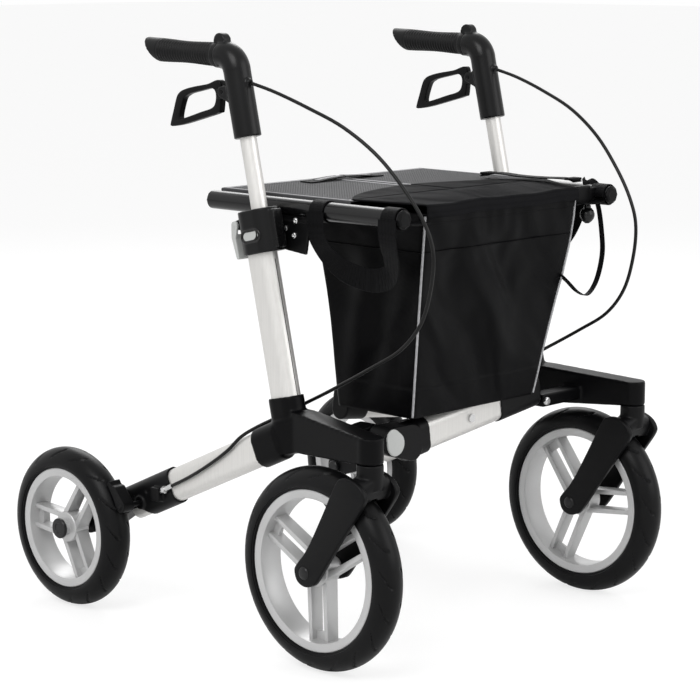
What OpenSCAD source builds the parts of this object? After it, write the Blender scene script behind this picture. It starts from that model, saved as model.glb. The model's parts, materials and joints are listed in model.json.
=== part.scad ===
// All terrain rollator: two side frames on large wheels, joined by a folding cross of
// two oval bars, with a sling seat, a hanging bag, height adjustable handles and brakes.
// Frame: +X forward, +Y the walker's left, +Z up, origin on the floor under the middle.
// Inside the modules x = 0 is the front axle; placed() moves the whole part to its origin.

/* [Wheels] */
// Radius of the front caster wheels over the tyre
front_r = 140; // [120:1:150]
// Radius of the rear wheels over the tyre
rear_r = 118; // [100:1:125]
// Width of the tyres
tyre_w = 47.5; // [36:0.5:52]
// Outer radius of the front rim, where the tyre seats
front_rim_r = 111; // [95:1:114]
// Outer radius of the rear rim, where the tyre seats
rear_rim_r = 89; // [76:1:92]
// Wall of the rims from the tyre seat inwards
rim_wall = 9; // [6:1:14]
// Width of the rims
rim_w = 40; // [30:1:44]
// Width of one spoke bar
spoke_w = 8; // [5:0.5:12]
// Depth of a spoke bar along the axle
spoke_depth = 22; // [12:1:30]
// Distance between the two bars of a spoke pair
spoke_pitch = 29; // [22:1:36]
// Radius of the front hubs
front_hub_r = 22.5; // [22:0.5:26]
// Radius of the rear hubs
rear_hub_r = 22.5; // [22:0.5:26]
// Radius of the front axles
front_axle_r = 5; // [4:0.5:7]
// Radius of the rear axles
rear_axle_r = 6; // [4:0.5:8]
// Distance from the front axle back to the rear axle
wheelbase = 493; // [440:1:540]
// Middle plane to the front wheel's plane
front_track = 280; // [270:1:300]
// Middle plane to the rear wheel's plane
rear_track = 308; // [306:1:330]

/* [Caster fork] */
// Swivel axis ahead of the front axle
trail = 89; // [84:1:92]
// Height of the caster head's underside
head_z = 298; // [296:1:302]
// Radius of the caster head and of the fork's neck
head_r = 18; // [16:0.5:22]
// Radius of the swivel stem
stem_r = 8; // [6:0.5:10]
// Side clearance between the tyre and a fork leg
leg_gap = 2.5; // [2:0.5:5]
// Thickness of a fork leg
leg_t = 8; // [6:0.5:10]
// Half the width of a fork leg at the axle
leg_end_r = 15; // [12:0.5:18]
// Half the width of a fork leg at the crown
leg_top_r = 19; // [16:0.5:22]

/* [Side frame] */
// Long side of the upright's oval tube
upright_a = 46; // [45:0.5:50]
// Short side of the upright's oval tube
upright_b = 30; // [28:1:32]
// Long side of the oval used for the stay and the cross bars
bar_a = 48; // [42:1:52]
// Short side of the oval used for the stay and the cross bars
bar_b = 28; // [24:1:29]
// Wall of the oval tubes
tube_wall = 2; // [1.5:0.1:2.5]
// Middle plane to the upright's axis
upright_y = 254; // [252:1:258]
// Rear wheel's plane out to the side from the lower stay's axis
stay_in = 46; // [45:1:50]
// Backward lean of the upright and the handle
rake = 13; // [10:0.5:15]
// Height of the lower stay's middle line at its front end
stay_top_z = 296; // [294:1:302]
// Wall of the casting's and the clamp's sockets
socket_wall = 4; // [3:0.5:6]

/* [Handle] */
// Radius of the sliding handle tube
handle_r = 11.5; // [10:0.5:12]
// Radius of the brake housing's elbow tube
housing_r = 19; // [16:0.5:21]
// Radius of the grip sleeve
grip_r = 16.5; // [14:0.5:18]
// Length of the grip sleeve
grip_l = 152; // [120:1:160]
// Rise of the grip towards its rear end
grip_rise = 1.5; // [0:0.5:4]
// Bend radius of the elbow's middle line
elbow_bend = 25; // [22:1:30]
// Height of the grip's middle line at the elbow
grip_z = 816; // [800:1:840]
// Height of the lower edge of the brake housing
housing_z = 707; // [695:1:715]
// Height of the lower end of the sliding tube
handle_low_z = 412; // [405:1:430]
// Width of the brake lever's loop across the handle
lever_w = 20; // [14:1:24]
// Height of the clamp's middle
clamp_z = 580; // [576:1:584]
// Height of the clamp along the tube
clamp_h = 60; // [56:1:66]
// Length of the clamp's section, front to back
clamp_a = 62; // [60:1:66]
// Width of the clamp's section
clamp_b = 44; // [42:1:44]

/* [Seat] */
// Middle plane to a seat rail's axis
rail_y = 218; // [216:1:222]
// Height of a seat rail's axis
rail_z = 612; // [608:1:618]
// Radius of a seat rail
rail_r = 13; // [10:0.5:13]
// Rear end of the seat rails, ahead of the front axle
rail_rear = -275; // [-300:1:-260]
// Front end of the seat rails, ahead of the front axle
rail_front = 90; // [70:1:94]
// Thickness of the seat fabric
seat_t = 3; // [2:0.5:5]
// Rear edge of the seat
seat_rear = -270; // [-290:1:-250]
// Front edge of the seat
seat_front = -18; // [-60:1:-10]
// Gap between the two seat halves at the fold line
seat_gap = 7; // [7:0.5:12]
// Width of the pull strap
strap_w = 25; // [15:1:35]
// Half the length of the pull strap
strap_l = 80; // [50:1:110]

/* [Fold] */
// Middle plane to a cross bar's hinge
hinge_y = 162; // [156:1:168]
// Height of a cross bar's hinge
hinge_z = 298; // [296:1:302]
// Rise of the cross bars when unfolded
cross_rise = 7.6; // [7:0.2:8]
// Height of a hinge above its bar's middle line
hinge_lift = 12; // [10:1:14]
// Length of the front cross bar beyond the middle pin
upper_arm = 148; // [130:1:150]
// Length of the rear cross bar beyond the middle pin
rear_arm = 76; // [70:1:84]
// Front cross bar's middle plane, ahead of the front axle
bar_front_x = 4; // [2:1:8]
// Spacing of the two cross bars along the walking direction
bar_pitch = 166; // [160:1:170]
// Radius of the hinge pins of the cross bars
hinge_pin_r = 7; // [5:0.5:8]
// Radius of the middle pin
centre_pin_r = 6; // [4:0.5:8]

/* [Bag] */
// Half the width of the bag at its mouth
bag_top_w = 160; // [140:1:170]
// Half the width of the bag at its bottom
bag_low_w = 139; // [132:1:145]
// Rear and front of the bag's mouth
bag_top_x = [-143, 75]; // [-150:1:90]
// Rear and front of the bag's bottom
bag_low_x = [-113, 34]; // [-118:1:40]
// Height of the bag's lower hem
bag_low_z = 328; // [327:1:340]
// Height of the bag's mouth under the seat
bag_top_z = 613; // [600:1:622]
// Height of the bag's lid in front of the seat
bag_lid_z = 630; // [624:1:634]

/* [Brake] */
// Diameter of the brake cable's outer sleeve
cable_d = 5; // [4:0.5:6]
// Gap between the brake shoe and the tyre when released
shoe_gap = 3; // [2:0.5:5]

/* [Fits] */
// Radial clearance of pins and sliding tubes
run_fit = 0.05; // [0.02:0.01:0.1]
// Clearance between parts of two bodies that pass each other
pass_gap = 0.4; // [0.3:0.1:1]

/* [Hidden] */
$fn = 64;
hull_fn = 32;

SIDES = [["left", 1], ["right", -1]];
SIDE_NODES = ["casting", "upright", "stay", "rear_bracket", "rear_axle", "clamp", "clamp_lever",
    "seat_rail", "seat_bracket", "screws", "handle_tube", "brake_housing", "grip", "brake_lever",
    "brake_cable", "cable_adjuster", "brake_arm", "fork", "fork_stem", "front_tyre", "front_rim",
    "front_axle", "rear_tyre", "rear_rim", "cross_bar", "cross_collar", "cross_pin", "seat_panel",
    "pull_strap"];

black = "#232427";
silver = "#d4d5d2";
grey = "#b9bbbd";
rubber = "#1c1c1e";
steel = "#9fa3a6";

// The middle of the part's length lies over the origin
x_mid = (front_r - wheelbase - rear_r) / 2;
eps = 0.01;

// Lines of the upright and of the handle tube, leaning back together
upright_x0 = -115.5;
upright_z0 = 450;
handle_x0 = -166;
handle_z0 = 708;
function upright_x(z) = upright_x0 - (z - upright_z0) * tan(rake);
function handle_x(z) = handle_x0 - (z - handle_z0) * tan(rake);
upright_low = 300;
upright_top = clamp_z + 8;
socket_top = 359;

// Line of the lower stay, from the rear axle up to the casting
stay_y = rear_track - stay_in;
stay_rear = 95 - wheelbase;
stay_front = -103;
stay_socket = -134;
stay_rise = atan((stay_top_z - rear_r) / (wheelbase + stay_front));
function stay_z(x) = rear_r + (x + wheelbase) * tan(stay_rise);

// Points of the elbow: the handle's line meets the grip's line
elbow_x = handle_x(grip_z);
elbow_turn = 90 - rake - grip_rise;
elbow_cut = elbow_bend * tan(elbow_turn / 2);

// Brake lever pivot behind the housing
pivot_z = 767;
pivot_x = handle_x(pivot_z) - housing_r - 8;
lever_pin_r = 2.5;

// Cross bar middle lines
half_bar = hinge_y / cos(cross_rise);
centre_z = hinge_z - hinge_lift + hinge_y * tan(cross_rise);
collar_r = 20;
collar_half = 17;
lug_half = collar_half - 1;
sleeve_from = 32;
sleeve_to = 76;
end_sleeve = 84;
function bar_l(s) = half_bar + (s > 0 ? rear_arm : upper_arm);
function end_l(s) = s > 0 ? 40 : end_sleeve;
function bar_x(s) = bar_front_x - (s > 0 ? bar_pitch : 0);
function lug_x(s) = bar_x(s) + 2 * s * collar_half;
function rest_x(s) = s > 0 ? bar_x(-1) - 16 : lug_x(-1) - 92;

// Brake arm pivot on the rear bracket, and its shoe ahead of the tyre
arm_x = 121 - wheelbase;
arm_z = 168;
arm_pin_r = 4;
arm_boss_r = 9;
shoe_from = 27;
shoe_to = 41;
shoe_t = 8;

// Route of the brake cable, from the housing round the front to the rear bracket
cable_route = [[-157, 253, 780], [-115, 251, 770], [-60, 246, 752], [0, 238, 728], [55, 229, 692],
    [100, 221, 645], [127, 216, 605], [138, 214, 570], [134, 214, 525], [118, 215, 478],
    [85, 218, 440], [35, 221, 410], [-35, 224, 372], [-88, 227, 345], [-120, 240, 326],
    [-146, 258, 310], [-165, stay_y + 10, 295], [-184, stay_y + 18, 274], [273 - wheelbase, stay_y + 19, 249],
    [231 - wheelbase, stay_y + 20, 224], [195 - wheelbase, stay_y + 20, 206]];
cable_sides = 8;
cable_steps = 2;
adjuster_l = 30;
adjuster_r = 3.5;
cable_end = cable_route[len(cable_route) - 1];

// Points on a smooth curve through the route, with unit tangents, for the cable's sweep
function spline(a, b, c, d, t) = 0.5 * (2 * b + (c - a) * t + (2 * a - 5 * b + 4 * c - d) * t * t
    + (3 * b - a - 3 * c + d) * t * t * t);
function clamped(list, i) = list[max(0, min(len(list) - 1, i))];
function smooth_path(p, n) = [for (i = [0 : len(p) - 2]) for (k = [0 : n - 1])
    spline(clamped(p, i - 1), p[i], p[i + 1], clamped(p, i + 2), k / n), p[len(p) - 1]];
function unit(v) = v / norm(v);
function tangent(p, i) = unit(clamped(p, i + 1) - clamped(p, i - 1));
function ring(c, t, r, n) = let (u = unit(cross(t, [0, 1, 0.001])), v = cross(t, u))
    [for (k = [0 : n - 1]) c + r * (u * cos(360 * k / n) + v * sin(360 * k / n))];

// Moves a piece to its side and the part to its origin
module placed(s) {
    translate([-x_mid, 0, 0])
        if (s > 0) children();
        else mirror([0, 1, 0]) children();
}

// A tube of round section swept along a smooth path
module swept_tube(p, r, n) {
    rings = [for (i = [0 : len(p) - 1]) ring(p[i], tangent(p, i), r, n)];
    last = len(p) - 1;
    points = [for (q = rings) for (v = q) v, p[0], p[last]];
    ends = len(p) * n;
    sides = [for (i = [0 : last - 1]) for (k = [0 : n - 1]) for (f = [0, 1])
        let (a = i * n + k, b = i * n + (k + 1) % n)
        f == 0 ? [a, b, b + n] : [a, b + n, a + n]];
    caps = [for (k = [0 : n - 1]) for (f = [0, 1])
        f == 0 ? [ends, (k + 1) % n, k] : [ends + 1, last * n + k, last * n + (k + 1) % n]];
    polyhedron(points, concat(sides, caps), convexity = 10);
}

// Flat oval with round ends, long side along X
module oval(a, b) {
    square([a - b, b], center = true);
    for (e = [-1, 1]) translate([e * (a - b) / 2, 0]) circle(d = b);
}

// Two circles joined by their outer tangents
module link2d(p, q, rp, rq) {
    d = norm(q - p);
    a = atan2(q[1] - p[1], q[0] - p[0]);
    w = acos((rp - rq) / d);
    translate(p) circle(rp);
    translate(q) circle(rq);
    polygon([p + rp * [cos(a + w), sin(a + w)], p + rp * [cos(a - w), sin(a - w)],
        q + rq * [cos(a - w), sin(a - w)], q + rq * [cos(a + w), sin(a + w)]]);
}

// Extrudes a side view, drawn with x forward and y up, across the part about the plane y
module side_plate(y, t) {
    translate([0, y + t / 2, 0]) rotate([90, 0, 0]) linear_extrude(t) children();
}

// Cylinders along the part's axes
module along_x(x0, x1, r) translate([x0, 0, 0]) rotate([0, 90, 0]) cylinder(r = r, h = x1 - x0);
module along_y(y0, y1, r) translate([0, y0, 0]) rotate([-90, 0, 0]) cylinder(r = r, h = y1 - y0);

// Places children on the upright's line at a height, with Z along the tube
module on_upright(z) translate([upright_x(z), upright_y, z]) rotate([0, -rake, 0]) children();
module on_handle(z) translate([handle_x(z), upright_y, z]) rotate([0, -rake, 0]) children();

// Places children on the stay's line, with Z along the stay towards the front
module on_stay(x) translate([x, stay_y, stay_z(x)]) rotate([0, 90 - stay_rise, 0]) children();

// Length of tube between two heights on the leaning line
function lean(dz) = dz / cos(rake);

// Wheel pieces, centred on the wheel's plane with the axle along Y
module tyre(r, rim_r) {
    color(rubber) rotate([90, 0, 0]) rotate_extrude($fn = 96) intersection() {
        translate([r - tyre_w / 2, 0]) circle(d = tyre_w);
        translate([rim_r, -tyre_w]) square([r, 2 * tyre_w]);
    }
}

module rim(r, hub_r, bore_r, hub_half, turn) {
    inner = r - rim_wall;
    color(grey) rotate([90, turn, 0]) difference() {
        union() {
            difference() {
                cylinder(r = r, h = rim_w, center = true, $fn = 96);
                cylinder(r = inner, h = rim_w + 2, center = true, $fn = 96);
            }
            cylinder(r = hub_r, h = 2 * hub_half, center = true);
            intersection() {
                cylinder(r = inner + rim_wall / 2, h = rim_w, center = true, $fn = 96);
                for (k = [0 : 2]) rotate(120 * k) for (e = [-1, 1])
                    translate([0, e * spoke_pitch / 2 - spoke_w / 2, -spoke_depth / 2])
                        cube([inner + rim_wall / 2, spoke_w, spoke_depth]);
            }
        }
        cylinder(r = bore_r, h = 3 * rim_w, center = true);
    }
}

front_hub_half = tyre_w / 2 + leg_gap - pass_gap;
module front_tyre(s) placed(s) translate([0, front_track, front_r]) tyre(front_r, front_rim_r);
module front_rim(s) placed(s) translate([0, front_track, front_r])
    rim(front_rim_r, front_hub_r, front_axle_r + run_fit, front_hub_half, s > 0 ? 0 : -30);

rear_hub_half = 22;
module rear_tyre(s) placed(s) translate([-wheelbase, rear_track, rear_r]) tyre(rear_r, rear_rim_r);
module rear_rim(s) placed(s) translate([-wheelbase, rear_track, rear_r])
    rim(rear_rim_r, rear_hub_r, rear_axle_r + run_fit, rear_hub_half, -39);

// Axle with round end caps outside the fork legs
leg_in = tyre_w / 2 + leg_gap;
leg_out = leg_in + leg_t;
axle_cap_r = 9;
axle_cap_t = 3;
module front_axle(s) placed(s) color(steel) translate([0, front_track, front_r]) {
    along_y(-leg_out, leg_out, front_axle_r);
    for (e = [-1, 1]) translate([0, e * (leg_out + axle_cap_t / 2), 0])
        rotate([90, 0, 0]) cylinder(r = axle_cap_r, h = axle_cap_t, center = true);
}

// Rear axle: bolt through the bracket, with the hub's end cap outside the wheel
bracket_half = bar_b / 2 + 3;
hub_cap_r = 15;
hub_cap_t = 5;
module rear_axle(s) placed(s) color(steel) translate([-wheelbase, 0, rear_r]) {
    along_y(stay_y - bracket_half - 6, rear_track + rear_hub_half + pass_gap, rear_axle_r);
    translate([0, rear_track + rear_hub_half + pass_gap, 0]) along_y(0, hub_cap_t, hub_cap_r);
    translate([0, stay_y - bracket_half - 6, 0]) along_y(0, 6, 10);
}

// Caster fork: neck, crown over the tyre and two flat legs down to the axle
crown_z = 272;
crown_r = leg_top_r - 2;
module fork(s) placed(s) color(black) difference() {
    translate([0, front_track, 0]) {
        translate([trail, 0, crown_z - 8]) cylinder(r = head_r, h = head_z - pass_gap - crown_z + 8);
        for (e = [-1, 1]) side_plate(e * (leg_in + leg_t / 2), leg_t)
            link2d([0, front_r], [trail - 5, crown_z - 11], leg_end_r, leg_top_r);
        difference() {
            hull() {
                for (e = [-1, 1]) translate([trail - 5, e * (leg_out - leg_t / 2) + leg_t / 2, crown_z - 11])
                    rotate([90, 0, 0]) cylinder(r = crown_r, h = leg_t, $fn = hull_fn);
                translate([trail, 0, crown_z]) cylinder(r = head_r - 0.5, h = 8, $fn = hull_fn);
            }
            translate([0, 0, front_r]) along_y(-leg_in, leg_in, front_r + leg_gap);
        }
    }
    translate([0, front_track, front_r]) along_y(-2 * leg_out, 2 * leg_out, front_axle_r);
    translate([trail, front_track, crown_z - 30]) cylinder(r = stem_r, h = 60);
}

head_h = 35;
module fork_stem(s) placed(s) color(steel) translate([trail, front_track, 0]) {
    translate([0, 0, crown_z - 5]) cylinder(r = stem_r, h = head_z + head_h - 6 - crown_z + 5);
}

// Frame casting: sockets for the upright and the stay, arm to the caster head, hinge lug
module casting(s) placed(s) color(black) difference() {
    union() {
        on_upright(upright_low - 8) linear_extrude(lean(socket_top - upright_low + 8))
            oval(upright_a + 2 * socket_wall, upright_b + 2 * socket_wall);
        on_stay(stay_socket) linear_extrude((stay_front - stay_socket) / cos(stay_rise) + 14)
            oval(bar_a + 2 * socket_wall, bar_b + 2 * socket_wall);
        hull() {
            translate([-62, upright_y, 288]) cylinder(r = 18, h = 55, $fn = hull_fn);
            translate([trail, front_track, head_z]) cylinder(r = head_r - 0.5, h = head_h, $fn = hull_fn);
        }
        hull() {
            translate([-60, upright_y, 290]) cylinder(r = 17, h = 48, $fn = hull_fn);
            translate([-92, stay_y, 282]) cylinder(r = 15, h = 44, $fn = hull_fn);
        }
        translate([trail, front_track, head_z]) cylinder(r = head_r, h = head_h);
        hull() {
            translate([lug_x(s) - lug_half, hinge_y, hinge_z])
                rotate([0, 90, 0]) cylinder(r = collar_r, h = 2 * lug_half, $fn = hull_fn);
            translate([lug_x(s) - lug_half, upright_y - 14, hinge_z - 13]) cube([2 * lug_half, 8, 24]);
        }
        translate([rest_x(s), hinge_y, hinge_z + 1]) cube([28, upright_y - hinge_y, 19]);
    }
    on_upright(upright_low) linear_extrude(lean(socket_top)) oval(upright_a, upright_b);
    on_stay(stay_socket - 30) linear_extrude((stay_front - stay_socket + 30) / cos(stay_rise))
        oval(bar_a, bar_b);
    translate([trail, front_track, head_z - 20]) cylinder(r = head_r + pass_gap, h = 20 + run_fit);
    translate([trail, front_track, head_z - 1]) cylinder(r = stem_r + run_fit, h = head_h - 4);
    translate([lug_x(s) - 60, hinge_y, hinge_z]) along_x(0, 120, hinge_pin_r + run_fit);
}

// Oval tubes of the side frame
module upright(s) placed(s) color(silver) on_upright(upright_low)
    linear_extrude(lean(upright_top - upright_low)) difference() {
        oval(upright_a, upright_b);
        oval(upright_a - 2 * tube_wall, upright_b - 2 * tube_wall);
    }

module stay(s) placed(s) color(silver) on_stay(stay_rear)
    linear_extrude((stay_front - stay_rear) / cos(stay_rise)) difference() {
        oval(bar_a, bar_b);
        oval(bar_a - 2 * tube_wall, bar_b - 2 * tube_wall);
    }

// Rear bracket: a boot over the stay's end, tapering to the axle eye
bracket_front = 185 - wheelbase;
bracket_drop = 30;
module rear_bracket(s) placed(s) color(black) difference() {
    union() {
        on_stay(stay_rear - 14) linear_extrude((bracket_front - stay_rear + 14) / cos(stay_rise))
            oval(bar_a + 6, bar_b + 6);
        side_plate(stay_y, 2 * bracket_half - 1.4) link2d([-wheelbase, rear_r],
            [stay_rear - 10, stay_z(stay_rear - 10) + 1], 17, 25);
        translate([arm_x, 0, arm_z]) along_y(stay_y, stay_y + bracket_half + 3, arm_boss_r + 1);
        translate([cable_end[0] - adjuster_l - 12, stay_y, 178]) cube([18, cable_end[1] + 6 - stay_y, 20]);
    }
    on_stay(stay_rear) linear_extrude(140) oval(bar_a, bar_b);
    translate([-wheelbase, 0, rear_r]) along_y(0, 2 * rear_track, rear_axle_r);
    side_plate(stay_y, 60)
        link2d([117 - wheelbase, 128], [73 - wheelbase, 104], bracket_drop, bracket_drop - 4);
    translate([arm_x, 0, arm_z]) along_y(arm_pin_y - 1, rear_track, arm_pin_r + run_fit);
    adjuster_seat() cylinder(r = adjuster_r, h = adjuster_l);
    adjuster_seat() translate([0, 0, 8 - pass_gap]) cylinder(r = adjuster_r + 2 + pass_gap, h = 30);
    for (x = [134 - wheelbase, 105 - wheelbase])
        translate([x, 0, stay_z(x) + 7]) along_y(stay_y + bar_b / 2 + 0.5, rear_track, 3.2);
}

// Brake arm: pin in the bracket, link and a curved shoe ahead of the tyre
shoe_r = rear_r + shoe_gap;
shoe_mid = (shoe_from + shoe_to) / 2;
arm_pin_y = stay_y + bar_b / 2 + 1;
module brake_arm(s) placed(s) color(black) {
    translate([arm_x, 0, arm_z]) along_y(arm_pin_y, rear_track + 12, arm_pin_r);
    difference() {
        side_plate(rear_track, 20) union() {
            link2d([arm_x, arm_z], [-wheelbase + (shoe_r + 6) * cos(shoe_mid),
                rear_r + (shoe_r + 6) * sin(shoe_mid)], arm_boss_r, 7);
            intersection() {
                translate([-wheelbase, rear_r]) circle(shoe_r + shoe_t, $fn = 96);
                translate([-wheelbase, rear_r]) polygon([[0, 0], 2 * shoe_r * [cos(shoe_from), sin(shoe_from)],
                    2 * shoe_r * [cos(shoe_to), sin(shoe_to)]]);
            }
        }
        translate([-wheelbase, 0, rear_r]) along_y(0, 2 * rear_track, shoe_r);
    }
}

// Cable adjuster: threaded barrel with its lock nut on the bracket's post
module adjuster_seat() {
    d = unit(cable_route[len(cable_route) - 2] - cable_end);
    translate(cable_end - d * (adjuster_l + pass_gap)) rotate([0, acos(d[2]), atan2(d[1], d[0])])
        children();
}
module cable_adjuster(s) placed(s) color(steel) adjuster_seat() {
    cylinder(r = adjuster_r, h = adjuster_l);
    translate([0, 0, 8]) cylinder(r = adjuster_r + 2, h = 5, $fn = 6);
}

// Brake cable along its whole route
module brake_cable(s) placed(s) color(rubber)
    swept_tube(smooth_path(cable_route, cable_steps), cable_d / 2, cable_sides);

// Height clamp: grips the upright below and guides the handle tube above
clamp_mid = 5;
split_w = 2;
module clamp(s) placed(s) color(black) difference() {
    union() {
    on_upright(clamp_z) translate([clamp_mid, 0, -clamp_h / 2]) {
        linear_extrude(clamp_h) oval(clamp_a, clamp_b);
        translate([clamp_a / 2 - 8, -9, 4]) cube([14, 18, clamp_h - 8]);
    }
    clamp_lever_seat() side_plate(0, lever_boss) link2d([0, 0], [16, 0], 6.5, 9);
    }
    on_upright(clamp_z) translate([0, 0, -clamp_h])
        linear_extrude(clamp_h + lean(upright_top - clamp_z)) oval(upright_a, upright_b);
    on_handle(clamp_z) cylinder(r = handle_r + run_fit, h = clamp_h);
    on_upright(clamp_z) translate([20, -split_w / 2, -clamp_h]) cube([clamp_a, split_w, 2 * clamp_h]);
    clamp_lever_seat() clamp_lever_pin(run_fit);
    on_upright(clamp_z) translate([clamp_mid - 4, clamp_b / 2 - 1.5, -3]) rotate([-90, 0, 0])
        linear_extrude(4) oval(30, 15);
}

// Clamp lever: a tab behind the clamp on a cross pin
lever_pin_x = -32;
lever_pin_z = 14;
lever_tab = 44;
lever_boss = 20;
lever_cheek = 4;
lever_bolt_r = 3;
lever_half = lever_boss / 2 + pass_gap + lever_cheek;
module clamp_lever_seat() on_upright(clamp_z) translate([lever_pin_x, 0, lever_pin_z]) children();
module clamp_lever_pin(gap) along_y(-lever_half, lever_half, lever_bolt_r + gap);
module clamp_lever(s) placed(s) color(grey) clamp_lever_seat() {
    along_y(-lever_half - 0.8, lever_half + 0.8, lever_bolt_r);
    difference() {
        side_plate(0, 2 * lever_half) {
            link2d([0, 0], [-5, -16], 6, 4);
            link2d([-5, -16], [-3, -lever_tab], 4, 2.5);
        }
        translate([-30, -lever_boss / 2 - pass_gap, -12]) cube([60, lever_boss + 2 * pass_gap, 60]);
    }
}

// Seat bracket: plate beside the clamp with a saddle under the seat rail
plate_y = upright_y - clamp_b / 2 - 5;
plate_t = 5;
screw_spots = [[-116, 585], [-96, 597], [-99, 577]];
module seat_bracket(s) placed(s) color(black) difference() {
    union() {
        side_plate(plate_y + plate_t / 2, plate_t) polygon([[-172, 596], [-160, 556], [-118, 556], [-78, 552],
            [-70, 596]]);
        translate([-165, rail_y - 8, 590]) cube([90, plate_y - rail_y + 8 + eps, rail_z - 590]);
    }
    translate([0, rail_y, rail_z]) along_x(rail_rear, rail_front, rail_r);
}

module seat_rail(s) placed(s) color(black) translate([0, rail_y, rail_z]) {
    difference() {
        along_x(rail_rear + 6, rail_front - 6, rail_r);
        along_x(rail_rear, rail_front, rail_r - tube_wall);
    }
    for (e = [[rail_rear, 6], [rail_front - 6, 6]]) along_x(e[0], e[0] + e[1], rail_r);
    for (e = [rail_rear + 5, rail_front - 25]) along_x(e, e + 20, rail_r - tube_wall);
}

// Screws of the seat bracket, seen from outside
module screws(s) placed(s) color(steel) {
    translate([rest_x(s) + 28, hinge_y + 7, hinge_z + 10]) rotate([0, 90, 0]) cylinder(r = 6, h = 4);
    for (p = screw_spots) translate([p[0], 0, p[1]]) along_y(plate_y + plate_t, plate_y + plate_t + 2.5, 4);
}

// Sliding handle tube
module handle_tube(s) placed(s) color(silver) on_handle(handle_low_z) difference() {
    cylinder(r = handle_r, h = lean(grip_z - elbow_bend - handle_low_z));
    translate([0, 0, -1]) cylinder(r = handle_r - tube_wall, h = lean(grip_z - handle_low_z));
}

// Brake housing: elbow tube over the handle tube, lever ears, cable mouth and knob
ear_gap = 7.5;
ear_t = 4;
ear_r = 8;
knob_r = 11;
knob_w = 14;
module elbow_frame() translate([elbow_x, upright_y, grip_z]) children();
module knob(gap) translate([knob_r + 8, 0, elbow_cut + 6]) rotate([90, 0, 0])
    cylinder(r = knob_r + gap, h = knob_w + 2 * gap, center = true);
module brake_housing(s) placed(s) color(black) difference() {
    union() {
        on_handle(housing_z) cylinder(r = housing_r - 0.2, h = lean(grip_z - housing_z) - elbow_cut + 2);
        elbow_frame() rotate([0, -rake, 0]) translate([-elbow_bend, 0, -elbow_cut])
            rotate([-90, 0, 0]) rotate([0, 0, -elbow_turn]) rotate_extrude(angle = elbow_turn)
                translate([elbow_bend, 0]) circle(housing_r);
        elbow_frame() rotate([0, -90 + grip_rise, 0]) translate([0, 0, elbow_cut - 2])
            cylinder(r = housing_r - 0.2, h = 8);
        for (e = [-1, 1]) side_plate(upright_y + e * (ear_gap + ear_t / 2), ear_t)
            link2d([pivot_x, pivot_z], [pivot_x + 16, pivot_z - 2], ear_r, 12);
        translate([handle_x(783) + 10, upright_y, 784]) rotate([0, 104, 0]) cylinder(r = 5.5, h = 14);
        elbow_frame() rotate([0, -90 + grip_rise, 0]) knob(0);
    }
    on_handle(housing_z - 1) cylinder(r = handle_r, h = lean(grip_z - elbow_bend - housing_z + 1));
    translate([pivot_x - 30, upright_y - ear_gap, pivot_z - 40])
        cube([pivot_cut + 30, 2 * ear_gap, 66]);
    translate([pivot_x, upright_y, pivot_z]) along_y(-40, 40, lever_pin_r);
}
pivot_cut = 6;

grip_tip = 30;
grip_start = elbow_cut + 6;
module grip(s) placed(s) color(rubber) elbow_frame() rotate([0, -90 + grip_rise, 0]) difference() {
    union() {
        translate([0, 0, grip_start]) cylinder(r = grip_r + 1.5, h = 8);
        translate([0, 0, grip_start]) cylinder(r = grip_r, h = grip_l);
    }
    rotate([90, 0, 0]) linear_extrude(4 * grip_r, center = true) polygon([
        [grip_r, grip_start + grip_l], [-grip_r - 1, grip_start + grip_l - grip_tip],
        [-grip_r - 1, grip_start + grip_l + 1], [grip_r, grip_start + grip_l + 1]]);
    knob(run_fit);
}

// Brake lever: a finger loop on a pin between the housing's ears
lever_top = [pivot_x - 18, pivot_z + 6];
lever_bow = [pivot_x - 99, pivot_z - 12];
lever_tip = [pivot_x - 116, pivot_z - 47];
lever_low = [pivot_x - 15, pivot_z - 25];
module brake_lever(s) placed(s) color(black) difference() {
    union() {
        side_plate(upright_y, lever_w) {
            link2d(lever_top, lever_bow, 5, 4.5);
            link2d(lever_bow, lever_tip, 4.5, 5);
            link2d(lever_tip, lever_low, 4.5, 5);
            link2d(lever_low, lever_top, 5, 5);
        }
        side_plate(upright_y, 2 * ear_gap - 2 * pass_gap)
            link2d([pivot_x, pivot_z], [pivot_x - 15, pivot_z - 6], 8 - 3, 14);
        translate([pivot_x, upright_y, pivot_z]) along_y(-ear_gap - ear_t, ear_gap + ear_t, lever_pin_r - run_fit);
    }
}

// Cross bars: oval tubes that rise from one casting past the middle pin
module on_bar(s) translate([bar_x(s), hinge_y, hinge_z - hinge_lift]) rotate([0, 0, 180])
    rotate([cross_rise, 0, 0]) rotate([-90, 0, 0]) children();
module bar_plate(t) rotate([180, -90, 0]) linear_extrude(t, center = true) children();
hinge_point = hinge_lift * [sin(cross_rise), cos(cross_rise)];
bar_start = 38;
module cross_bar(s) placed(s) color(silver) on_bar(s) difference() {
    translate([0, 0, bar_start]) rotate(90) linear_extrude(bar_l(s) - bar_start) difference() {
        oval(bar_a, bar_b);
        oval(bar_a - 2 * tube_wall, bar_b - 2 * tube_wall);
    }
    translate([0, 0, half_bar]) along_x(-60, 60, centre_pin_r + run_fit);
}

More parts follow.
